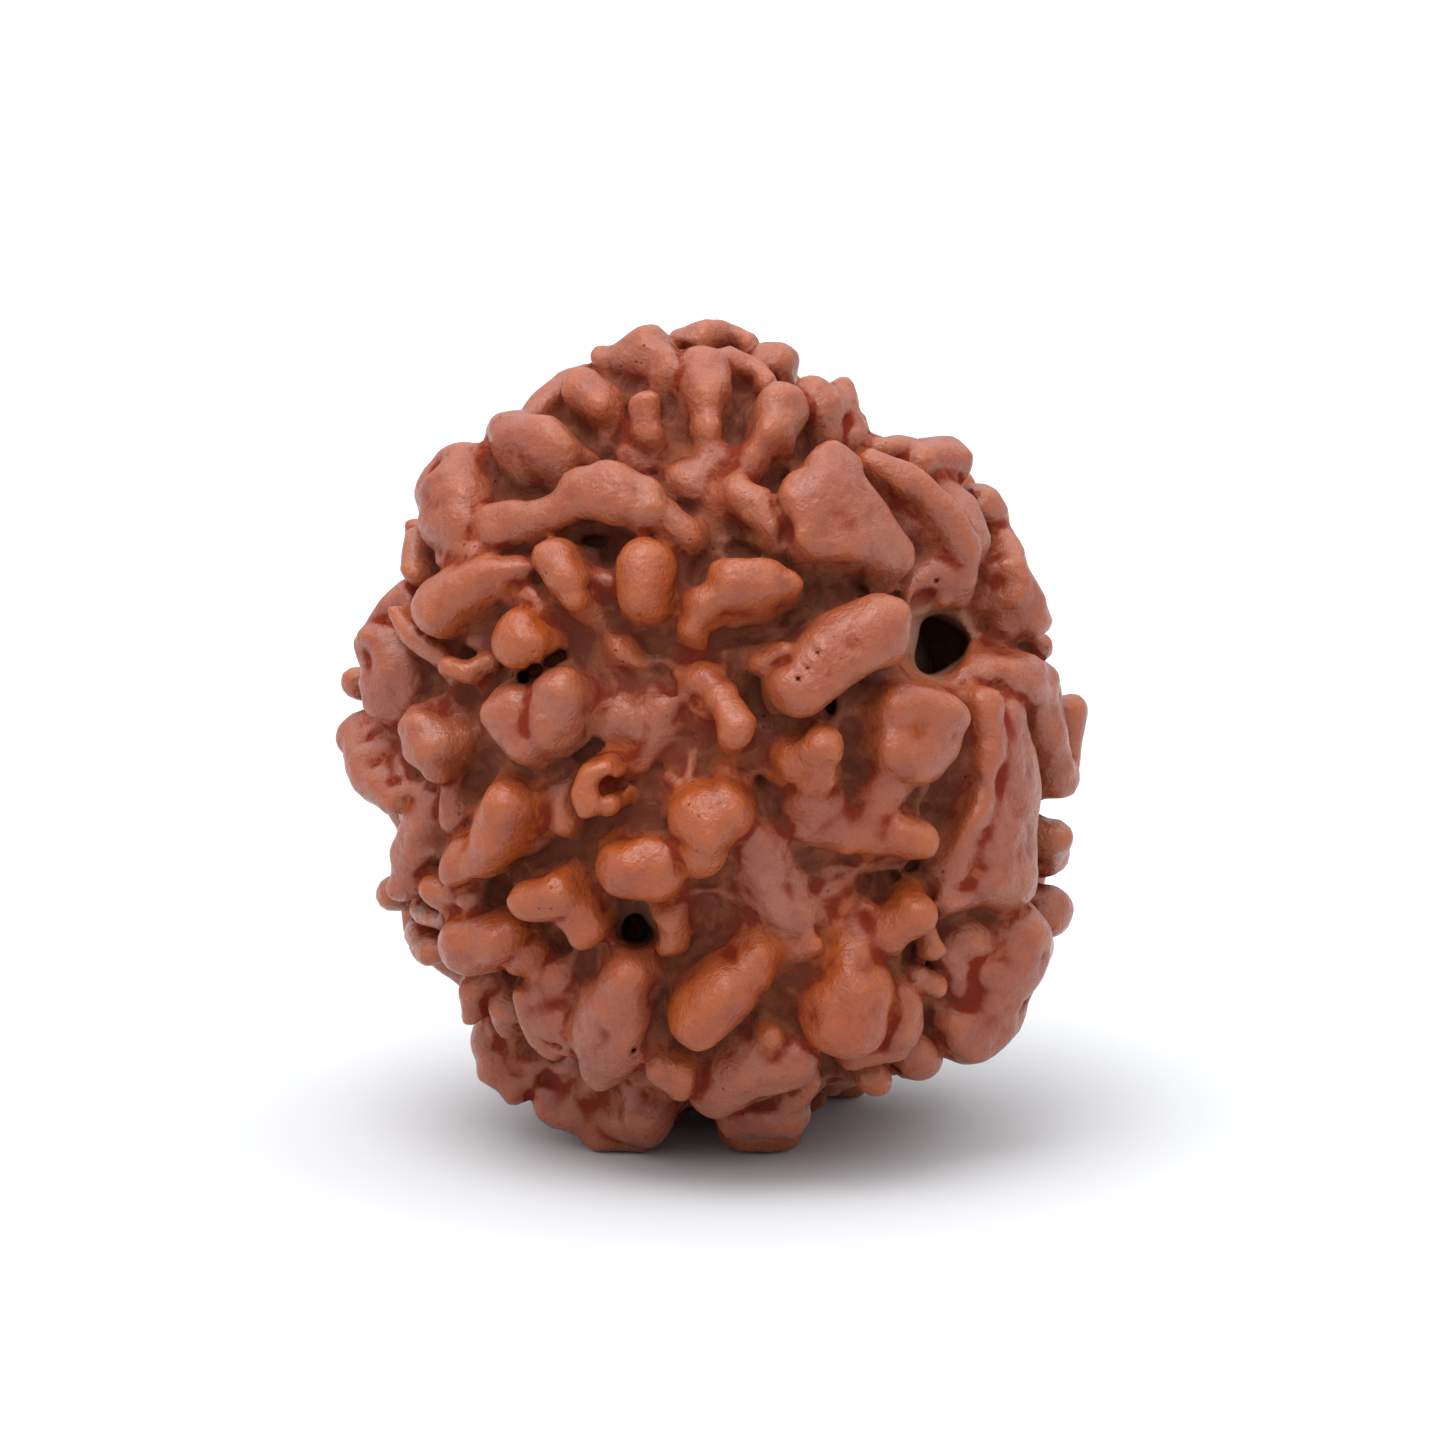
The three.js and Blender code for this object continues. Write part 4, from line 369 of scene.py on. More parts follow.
def noise(p, seed):
    """Smooth noise from -1 to 1 that wanders over about one unit."""
    low = np.floor(p).astype(np.int32)
    f = (p - low).astype(np.float32)
    f = f * f * (3 - 2 * f)
    start = low.min(0)
    size = low.max(0) - start + 2
    axes = [start[i] + np.arange(size[i]) for i in range(3)]
    table = hashed(*np.meshgrid(*axes, indexing="ij"), seed).astype(np.float32)
    ix, iy, iz = (low - start).T
    rows = [
        lerp(table[ix, iy + dy, iz + dz], table[ix + 1, iy + dy, iz + dz], f[:, 0])
        for dz in (0, 1)
        for dy in (0, 1)
    ]
    return 2 * lerp(lerp(rows[0], rows[1], f[:, 1]), lerp(rows[2], rows[3], f[:, 1]), f[:, 2]) - 1


def random_row(seed, first, count):
    return hashed(np.arange(first, first + count), seed, 7, seed)


def floor_height(p):
    """Height of each point above the stone's floor."""
    height = None
    for at, half, lean in FLOOR_BODIES:
        c, s = math.cos(math.radians(lean)), math.sin(math.radians(lean))
        x, y, z = p[..., 0] - at[0], p[..., 1] - at[1], p[..., 2] - at[2]
        q = (c * x + s * z, y, -s * x + c * z)
        k0 = np.sqrt(sum((v / h) ** 2 for v, h in zip(q, half)))
        k1 = np.sqrt(sum((v / h**2) ** 2 for v, h in zip(q, half)))
        d = k0 * (k0 - 1) / np.maximum(k1, 1e-6)
        height = d if height is None else blend(height, d, FLOOR_BLEND)
    return height


def floor_normal(p):
    step = 0.01
    slope = [floor_height(p + e) - floor_height(p - e) for e in step * np.eye(3)]
    slope = np.stack(slope, -1)
    return slope / np.linalg.norm(slope, axis=-1, keepdims=True)


def at_lift(p, lift):
    """Moves points straight out or in until they are that far above the floor."""
    for _ in range(4):
        p = p + floor_normal(p) * (lift - floor_height(p))[..., None]
    return p


def seen_points(drawn):
    """The points that the eye sees at places of the drawing, or the closest past its outline."""
    right, up, lift = drawn.T
    eye = EYE_DISTANCE * TOWARDS_EYE
    target = up[:, None] * DRAWING_UP
    target[:, 0] = right
    sight = target - eye
    sight /= np.linalg.norm(sight, axis=-1, keepdims=True)
    p = eye + sight * (EYE_DISTANCE - 20)
    best = p.copy()
    least = np.full(len(p), np.inf)
    going = np.ones(len(p), bool)
    for _ in range(400):
        gap = floor_height(p) - lift
        closer = going & (gap < least)
        least[closer] = gap[closer]
        best[closer] = p[closer]
        going &= gap >= 0.002
        p = p + sight * (np.maximum(gap * 0.7, 0.05) * going)[:, None]
    return best


def knob(rim, at, radius, lift):
    out = floor_normal(at)
    flat = {"away": out, "squeeze": np.zeros(len(at))}
    return {"rim": rim, "at": at, "out": out, "radius": radius, "lift": lift, **flat}


def drawn_knob(rim, chain, scale=1.0):
    """A knob of the front. The drawing's places are those of its rounded ends."""
    right, up, radius, lift = np.array(chain, float).T
    lift = lift * scale
    sunk = SUNK * np.minimum(RIM_SCALE * rim, RIM_SHARE * radius)
    at = seen_points(np.stack([right, up, lift - sunk], -1))
    lift = np.maximum(lift, floor_height(at) + sunk)
    at = at_lift(at, lift)
    one = knob(rim, at, radius, lift)
    facing = np.maximum(one["out"] @ TOWARDS_EYE, LEAST_FACING)
    one["away"] = one["out"] * facing[:, None] - TOWARDS_EYE
    one["away"] /= np.linalg.norm(one["away"], axis=-1, keepdims=True)
    one["squeeze"] = 1 - facing ** SQUEEZE
    one["out"] = one["out"] + LEAN * TOWARDS_EYE
    one["out"] /= np.linalg.norm(one["out"], axis=-1, keepdims=True)
    return one


def room_inside(p):
    """How far inside the outline each point shows, below zero outside it."""
    scale = EYE_DISTANCE / (EYE_DISTANCE - p @ TOWARDS_EYE)
    right, up = p[..., 0] * scale, (p @ DRAWING_UP) * scale
    corners = np.array(OUTLINE)
    least = np.full(right.shape, np.inf)
    inside = np.zeros(right.shape, bool)
    for (ax, ay), (bx, by) in zip(corners, np.roll(corners, -1, 0)):
        t = ((right - ax) * (bx - ax) + (up - ay) * (by - ay)) / ((bx - ax) ** 2 + (by - ay) ** 2)
        t = np.clip(t, 0, 1)
        least = np.minimum(least, np.hypot(right - ax - t * (bx - ax), up - ay - t * (by - ay)))
        if ay == by:
            continue
        inside ^= ((ay > up) != (by > up)) & (right < ax + (up - ay) * (bx - ax) / (by - ay))
    return np.where(inside, least, -least)


def placed_knob(rim, chain):
    chain = np.array(chain, float)
    lift = LIFT_SCALE * chain[:, 4]
    return knob(rim, at_lift(chain[:, :3], lift), chain[:, 3], lift)


def flattened(one):
    """A knob's chain laid flat: each lump's place round the chain's middle, radius and lift."""
    middle = one["at"].mean(0)
    out = floor_normal(middle)
    side = np.cross((0, 0, 1), out)
    side /= np.linalg.norm(side)
    up = np.cross(out, side)
    d = one["at"] - middle
    return np.stack([d @ side, d @ up, one["radius"], one["lift"]], -1)


DRAWS = 7  # random numbers that each thrown shape takes


def cover_rest(knobs):
    """Covers what is still bare with shapes from the stock, large ones first."""
    stock = [(one["rim"], flattened(one)) for one in knobs]
    taken = np.concatenate([one["at"] for one in knobs])
    width = np.concatenate([one["radius"] for one in knobs])
    everything = list(knobs)
    used = 0
    for step in ROUNDS:
        throws = step["throws"]
        fewest, most = step["lumps"]
        shapes = [shape for shape in stock if fewest <= len(shape[1]) <= most]
        draws = random_row(SEED, used, DRAWS * throws).reshape(throws, DRAWS)
        used += DRAWS * throws
        height, turn = 2 * draws[:, 0] - 1, 2 * np.pi * draws[:, 1]
        pick = (len(shapes) * draws[:, 2]).astype(int)
        spin = 2 * np.pi * draws[:, 3][:, None]
        size = lerp(*SIZE_SPREAD, draws[:, 4])
        space = lerp(*step["gap"], draws[:, 5])
        flip = np.where(draws[:, 6] < 0.5, -1, 1)[:, None]
        ring = np.sqrt(1 - height**2)
        way = np.stack([ring * np.cos(turn), ring * np.sin(turn), height], -1)
        middle = at_lift(THROWN_AT["radius"] * way, np.full(throws, THROWN_AT["lift"]))
        out = floor_normal(middle)
        side = np.cross((0, 0, 1), out)
        side /= np.linalg.norm(side, axis=-1, keepdims=True)
        side = side * np.cos(spin) + np.cross(out, side) * np.sin(spin)
        up = np.cross(out, side) * flip
        owner = np.repeat(np.arange(throws), [len(shapes[i][1]) for i in pick])
        flat = np.concatenate([shapes[i][1] for i in pick])
        flat[:, :3] *= size[owner, None]
        lift = np.clip(flat[:, 3], *COVERED_LIFT)
        p = at_lift(middle[owner] + side[owner] * flat[:, [0]] + up[owner] * flat[:, [1]], lift)
        over = np.maximum(OUTLINE_ROOM + EDGE_SHARE * flat[:, 2] - room_inside(p), 0)
        lift = lift - LOWERED * over
        p = at_lift(p, lift)
        good = (lift > LEAST_LIFT) & (floor_normal(p) @ TOWARDS_EYE < FACING_LIMIT)
        fits = np.minimum.reduceat(good, np.searchsorted(owner, np.arange(throws)))
        starts = np.searchsorted(owner, np.arange(throws + 1))
        for i in range(throws):
            own = slice(starts[i], starts[i + 1])
            apart = np.linalg.norm(p[own][:, None] - taken[None], axis=-1)
            if not fits[i] or np.any(apart <= flat[own, 2][:, None] + width[None] + space[i]):
                continue
            everything.append(knob(shapes[pick[i]][0], p[own], flat[own, 2], lift[own]))
            taken = np.concatenate([taken, p[own]])
            width = np.concatenate([width, flat[own, 2]])
    return everything


ROW_LENGTH = 20000  # more random numbers than the ridges take


def low_ridges(knobs, first_covered):
    """Low ridges that tie neighbouring knobs of the covered part together."""
    ridges = []
    used = 0
    heads = np.array([one["at"][0] for one in knobs])
    tails = np.array([one["at"][-1] for one in knobs])
    row = random_row(SEED + 1, 0, ROW_LENGTH)
    for i in range(first_covered, len(knobs)):
        apart = np.linalg.norm(tails[:i] - heads[i], axis=-1)
        for j in np.flatnonzero(apart <= RIDGES["reach"]):
            used += 1
            if row[used - 1] > RIDGES["share"]:
                continue
            lift = lerp(*RIDGES["lift"], row[used])
            radius = lerp(*RIDGES["radius"], row[used + 1])
            used += 2
            ends = at_lift(np.stack([heads[i], tails[j]]), np.full(2, lift))
            ridges.append(knob(RIDGES["rim"], ends, np.full(2, radius), np.full(2, lift)))
    return ridges


def knob_distance(one, p, height, draft=PLAIN_DRAFT, tilt=(0, 0, 0)):
    """Distance to a knob: a rounded column round its chain, cut off at its lift."""
    distance = None
    count = len(one["radius"])
    slant = (p - one["at"].mean(0).astype(np.float32)) @ np.array(tilt, np.float32)
    for i in range(max(count - 1, 1)):
        j = min(i + 1, count - 1)
        a, b = one["at"][i].astype(np.float32), one["at"][j].astype(np.float32)
        along = b - a
        long = float(along @ along)
        q = p - a
        s = np.clip(q @ along / long, 0, 1) if long > 0 else np.zeros(len(p), np.float32)
        d = q - s[:, None] * along
        away = one["away"][i].astype(np.float32)
        d = d - (d @ away * np.float32(one["squeeze"][i]))[:, None] * away
        n = lerp(one["out"][i].astype(np.float32), one["out"][j].astype(np.float32), s[:, None])
        n /= np.linalg.norm(n, axis=-1, keepdims=True)
        out = np.einsum("ij,ij->i", d, n)
        side = np.sqrt(np.maximum(np.einsum("ij,ij->i", d, d) - out * out, 0))
        radius = lerp(one["radius"][i], one["radius"][j], s)
        above = height - lerp(one["lift"][i], one["lift"][j], s)
        edge = np.minimum(RIM_SCALE * one["rim"], RIM_SHARE * radius)
        wide = side - radius + draft * np.minimum(above + DRAFT_FROM, 0) + edge
        tall = above + slant + CROWN * (side / radius) ** 2 * radius + edge
        far = np.sqrt(np.maximum(wide, 0) ** 2 + np.maximum(tall, 0) ** 2)
        this = np.minimum(np.maximum(wide, tall), 0) + far - edge
        distance = this if distance is None else np.minimum(distance, this)
    return distance


def net_block(place, at, reach):
    """The net's points within reach of a few places."""
    low = [max(int((at[:, k].min() - reach + REACH[k]) / CELL), 0) for k in range(3)]
    high = [max(int((at[:, k].max() + reach + REACH[k]) / CELL) + 2, 0) for k in range(3)]
    block = place[low[0]:high[0], low[1]:high[1], low[2]:high[2]].ravel()
    return block[block >= 0]


def knobs_on(place, p, h):
    """Distance to the knobs, and each point's nearest knob's own tint."""
    front = [drawn_knob(rim, chain, LIFT_SCALE) for rim, _, _, *chain in FRONT_KNOBS]
    front += [placed_knob(rim, chain) for rim, _, _, *chain in FEET]
    covered = cover_rest(front)
    knobs = covered + low_ridges(covered, len(front))
    distance = np.full(len(p), FAR, np.float32)
    tint = np.zeros(len(p), np.float32)
    count = len(knobs)
    tints = hashed(np.arange(count), 3, 1, SEED)
    tints[:len(front)] = [row[1] for row in FRONT_KNOBS + FEET]
    drafts = lerp(*DRAFT, hashed(np.arange(count), 4, 1, SEED))
    drafts[:len(front)] = [row[2] for row in FRONT_KNOBS + FEET]
    tilts = TILT * (2 * np.stack([hashed(np.arange(count), 5, k, SEED) for k in range(3)], -1) - 1)
    for one, own_tint, draft, tilt in zip(knobs, tints, drafts, tilts):
        middle_out = one["out"].mean(0)
        tilt = tilt - (tilt @ middle_out) * middle_out
        block = net_block(place, one["at"], one["radius"].max() + KNOB_MARGIN)
        d = knob_distance(one, p[block], h[block], draft, tilt)
        nearer = d < distance[block]
        tint[block[nearer]] = own_tint
        distance[block] = blend(distance[block], d, KNOB_BLEND)
    return distance, tint


def webs_on(place, p, h):
    """Distance to the thin webs in the valleys."""
    distance = np.full(len(p), FAR, np.float32)
    for line in WEBS:
        one = drawn_knob(WEB["rim"], [(right, up, WEB["radius"], WEB["lift"]) for right, up in line])
        block = net_block(place, one["at"], 1)
        distance[block] = np.minimum(distance[block], knob_distance(one, p[block], h[block]))
    return distance


def floor_on(place, p, h):
    """The floor's own surface, with its lumps and hollows."""
    ground = h - FLOOR_LIFT
    for seed, (size, depth) in enumerate(FLOOR_RELIEF, RELIEF_SEED):
        ground -= depth * noise(p / size, seed)
    hollows = np.array(HOLLOWS, float)
    places = seen_points(hollows[:, [0, 1, 1]] * [1, 1, 0])
    for at, radius, depth in zip(places, hollows[:, 2], hollows[:, 3]):
        block = net_block(place, at[None], 2.5 * radius)
        apart = (((p[block] - at.astype(np.float32)) / radius) ** 2).sum(-1)
        ground[block] += depth * np.exp(-apart)
    return ground


def drill_holes(place, p, value):
    """Takes the blind holes and the pin holes out of the stone, along the eye's sight line."""
    holes = [(pit["mouth"], pit["depth"], PIT_LIP, False) for pit in PITS]
    for right, up, radius, depth in PINHOLES:
        holes.append(((right, up, radius, PINHOLE_LIFT), depth, PINHOLE_LIP, True))
    for mouth, depth, lip, on_surface in holes:
        at = drawn_knob(0, [mouth])["at"]
        block = net_block(place, at, depth + PIT_RISE)
        if on_surface:
            beside = np.linalg.norm(np.cross(p[block] - at[0], TOWARDS_EYE), axis=-1)
            nearest = block[np.argsort(np.abs(value[block]) + AIM_WEIGHT * beside)[0]]
            at[0] = p[nearest]
        d = p[block] - at[0]
        out = d @ TOWARDS_EYE
        past = out - np.clip(out, -depth, PIT_RISE)
        side = np.sqrt(np.maximum((d * d).sum(-1) - out * out, 0) + past * past)
        value[block] = -blend(-value[block], side - mouth[2], lip)


def stone_field():
    """The stone on a net of points: its distance and what its colours are worked out from."""
    counts = [int(math.ceil(2 * r / CELL)) + 1 for r in REACH]
    axes = [np.arange(n, dtype=np.float32) * CELL - r for n, r in zip(counts, REACH)]
    rough = np.stack(np.meshgrid(*axes, indexing="ij"), -1)
    height = floor_height(rough).astype(np.float32)
    band = np.flatnonzero((height.ravel() > HEIGHTS[0]) & (height.ravel() < HEIGHTS[1]))
    p = rough.reshape(-1, 3)[band]
    seed = WAVE_SEED
    for size, depth in WAVES:
        q = p / size
        p = p + depth * np.stack([noise(q, seed + k) for k in range(3)], -1)
        seed += 3
    h = floor_height(p).astype(np.float32)
    place = np.full(height.size, -1, np.int32)
    place[band] = np.arange(len(band))
    place = place.reshape(counts)
    knob_field, tint = knobs_on(place, p, h)
    web = webs_on(place, p, h)
    value = blend(blend(floor_on(place, p, h), web, WEB_BLEND), knob_field, ROOT_BLEND)
    wrinkled = np.clip(WRINKLED_TO - h, 0, 1)
    for seed, (size, depth) in enumerate(WRINKLES, WRINKLE_SEED):
        value -= depth * wrinkled * (1 - np.abs(noise(p / size, seed))) ** WRINKLE_SHARPNESS
    for seed, (size, depth) in enumerate(DENTS, DENT_SEED):
        value += depth * noise(p / size, seed)
    drill_holes(place, p, value)
    whole = np.where(height > 0, 5, -5).astype(np.float32).ravel()
    whole[band] = value
    whole = -blend(-whole.reshape(counts), rough[..., 2] + MIDDLE_HEIGHT, FOOT_ROUND)
    layers = {"rise": h, "tint": tint, "web": np.minimum(web, 3)}
    for name, layer in layers.items():
        spread = np.zeros(height.size, np.float32)
        spread[band] = layer
        layers[name] = spread.reshape(counts)
    return whole, layers


def surface_net(values):
    """A vertex in each cell that the surface crosses, and a quad round each crossed edge."""
    inside = values < 0
    cut = tuple(slice(0, -1) for _ in range(3))
    corners = [(i, j, k) for i in (0, 1) for j in (0, 1) for k in (0, 1)]
    shape = [n - 1 for n in values.shape]
    shifted = [inside[i:i + shape[0], j:j + shape[1], k:k + shape[2]] for i, j, k in corners]
    count = sum(s.astype(np.int8) for s in shifted)
    cells = np.argwhere((count > 0) & (count < 8))
    index = np.full(shape, -1, np.int64)
    index[tuple(cells.T)] = np.arange(len(cells))
    total = np.zeros((len(cells), 3), np.float64)
    hits = np.zeros(len(cells))
    for a in corners:
        for axis in range(3):
            if a[axis]:
                continue
            b = tuple(v + (axis == k) for k, v in enumerate(a))
            va = values[tuple((cells + a).T)]
            vb = values[tuple((cells + b).T)]
            crossed = (va < 0) != (vb < 0)
            t = va[crossed] / (va[crossed] - vb[crossed])
            total[crossed] += a
            total[crossed, axis] += t
            hits[crossed] += 1
    points = cells + total / hits[:, None]
    quads = []
    for axis in range(3):
        u, v = [(1, 2), (2, 0), (0, 1)][axis]
        low = inside[cut]
        high = np.roll(inside, -1, axis)[cut]
        p = np.argwhere(low != high)
        p = p[(p[:, u] > 0) & (p[:, v] > 0)]
        eu, ev = np.eye(3, dtype=int)[u], np.eye(3, dtype=int)[v]
        quad = np.stack([index[tuple((p - s).T)] for s in (0 * eu, eu, eu + ev, ev)], -1)
        flip = ~inside[tuple(p.T)]
        quad[flip] = quad[flip][:, ::-1]
        quads.append(quad)
    return points, np.concatenate(quads)


def sampled(layer, points):
    """A layer of the net at points given in steps of the net."""
    low = np.clip(np.floor(points).astype(int), 0, np.array(layer.shape) - 2)
    f = points - low
    total = 0
    for i in (0, 1):
        for j in (0, 1):
            for k in (0, 1):
                weight = abs(1 - i - f[:, 0]) * abs(1 - j - f[:, 1]) * abs(1 - k - f[:, 2])
                total = total + weight * layer[low[:, 0] + i, low[:, 1] + j, low[:, 2] + k]
    return total


def largest_body(points, faces):
    """Leaves out what isn't joined to the largest body."""
    label = np.arange(len(points))
    while True:
        least = label[faces].min(1)
        new = label.copy()
        for k in range(faces.shape[1]):
            np.minimum.at(new, faces[:, k], least)
        new = new[new]
        if np.array_equal(new, label):
            break
        label = new
    names, sizes = np.unique(label, return_counts=True)
    keep = label == names[sizes.argmax()]
    number = np.cumsum(keep) - 1
    return points[keep], number[faces[keep[faces[:, 0]]]]


def blurred(solid, radius):
    """Share of solid in a box of that half size round each point of the net."""
    steps = max(int(round(radius / CELL)), 1)
    for axis in range(3):
        pad = [(0, 0)] * 3
        pad[axis] = (steps + 1, steps)
        total = np.cumsum(np.pad(solid, pad, mode="edge"), axis, dtype=np.float32)
        high = np.take(total, np.arange(2 * steps + 1, total.shape[axis]), axis)
        low = np.take(total, np.arange(0, total.shape[axis] - 2 * steps - 1), axis)
        solid = (high - low) / (2 * steps + 1)
    return solid


def seed_mesh():
    """The stone as one mesh that carries what its colours are worked out from."""
    values, layers = stone_field()
    points, quads = surface_net(values)
    points, quads = largest_body(points, quads)
    solid = np.clip(0.5 - values / CELL, 0, 1)
    layers["snug"] = blurred(blurred(solid, SNUG_REACH), SNUG_REACH)
    layers["deep"] = blurred(blurred(solid, DEEP_REACH), DEEP_REACH)
    place = points * CELL - np.array(REACH)
    place[:, 2] += MIDDLE_HEIGHT
    mesh = bpy.data.meshes.new("seed_stone")
    mesh.from_pydata(place * MM, [], quads)
    seed = bpy.data.objects.new("seed_stone", mesh)
    bpy.context.scene.collection.objects.link(seed)
    triangles = 2 * len(quads)
    if triangles > TRIANGLES:
        thin = seed.modifiers.new("thin", "DECIMATE")
        thin.ratio = TRIANGLES / triangles
        graph = bpy.context.evaluated_depsgraph_get()
        thinned = bpy.data.meshes.new_from_object(seed.evaluated_get(graph))
        seed.modifiers.clear()
        seed.data = thinned
        mesh = thinned
    co = np.zeros(3 * len(mesh.vertices), np.float32)
    mesh.vertices.foreach_get("co", co)
    co = co.reshape(-1, 3)
    net = (co / MM - [0, 0, MIDDLE_HEIGHT] + np.array(REACH)) / CELL
    for name, layer in layers.items():
        attribute = mesh.attributes.new(name, "FLOAT", "POINT")
        attribute.data.foreach_set("value", sampled(layer, net).astype(np.float32))
    low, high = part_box("seed")
    middle = (co.min(0) + co.max(0)) / 2
    co[:, 0] += (low.x + high.x) / 2 - middle[0]
    co[:, 1] += (low.y + high.y) / 2 - middle[1]
    co[:, 2] = np.maximum(co[:, 2], 0)
    mesh.vertices.foreach_set("co", co.ravel())
    mesh.shade_smooth()
    mesh.update()
    return seed


class Shading:
    """Short calls for building a material's nodes."""

    def __init__(self, name):
        self.material = bpy.data.materials.new(name)
        self.material.use_nodes = True
        self.nodes = self.material.node_tree.nodes
        self.links = self.material.node_tree.links
        self.shader = self.nodes["Principled BSDF"]
        self.place = self.nodes.new("ShaderNodeTexCoord").outputs["Object"]

    def put(self, socket, value):
        if isinstance(value, bpy.types.NodeSocket):
            self.links.new(value, socket)
        else:
            socket.default_value = value

    def attribute(self, name):
        node = self.nodes.new("ShaderNodeAttribute")
        node.attribute_name = name
        return node.outputs["Fac"]

    def noise(self, size_mm, detail=3, roughness=0.55, distortion=0.0):
        node = self.nodes.new("ShaderNodeTexNoise")
        self.links.new(self.place, node.inputs["Vector"])
        node.inputs["Scale"].default_value = 1 / (size_mm * MM)
        node.inputs["Detail"].default_value = detail
        node.inputs["Roughness"].default_value = roughness
        node.inputs["Distortion"].default_value = distortion
        return node.outputs["Fac"]

    def cells(self, size_mm, feature="F1"):
        node = self.nodes.new("ShaderNodeTexVoronoi")
        node.feature = feature
        self.links.new(self.place, node.inputs["Vector"])
        node.inputs["Scale"].default_value = 1 / (size_mm * MM)
        return node.outputs["Distance"]

    def math(self, operation, a, b=0.0, clamp=False):
        node = self.nodes.new("ShaderNodeMath")
        node.operation = operation
        node.use_clamp = clamp
        self.put(node.inputs[0], a)
        self.put(node.inputs[1], b)
        return node.outputs[0]

    def ease(self, value, low, high, to_low=0.0, to_high=1.0):
        """A smooth step from to_low to to_high as the value goes from low to high."""
        node = self.nodes.new("ShaderNodeMapRange")
        node.interpolation_type = "SMOOTHSTEP"
        self.put(node.inputs["Value"], value)
        ends = {"From Min": low, "From Max": high, "To Min": to_low, "To Max": to_high}
        for name, number in ends.items():
            node.inputs[name].default_value = number
        return node.outputs["Result"]

    def mix(self, factor, a, b, how="MIX"):
        node = self.nodes.new("ShaderNodeMix")
        node.data_type = "RGBA"
        node.blend_type = how
        self.put(node.inputs["Factor"], factor)
        for socket, colour in zip(node.inputs[6:8], (a, b)):
            self.put(socket, (*colour, 1) if isinstance(colour, tuple) else colour)
        return node.outputs[2]

    def bump(self, height, distance_mm, strength=1.0, below=None):
        node = self.nodes.new("ShaderNodeBump")
        node.inputs["Strength"].default_value = strength
        node.inputs["Distance"].default_value = distance_mm * MM
        self.put(node.inputs["Height"], height)
        if below:
            self.links.new(below, node.inputs["Normal"])
        return node.outputs["Normal"]


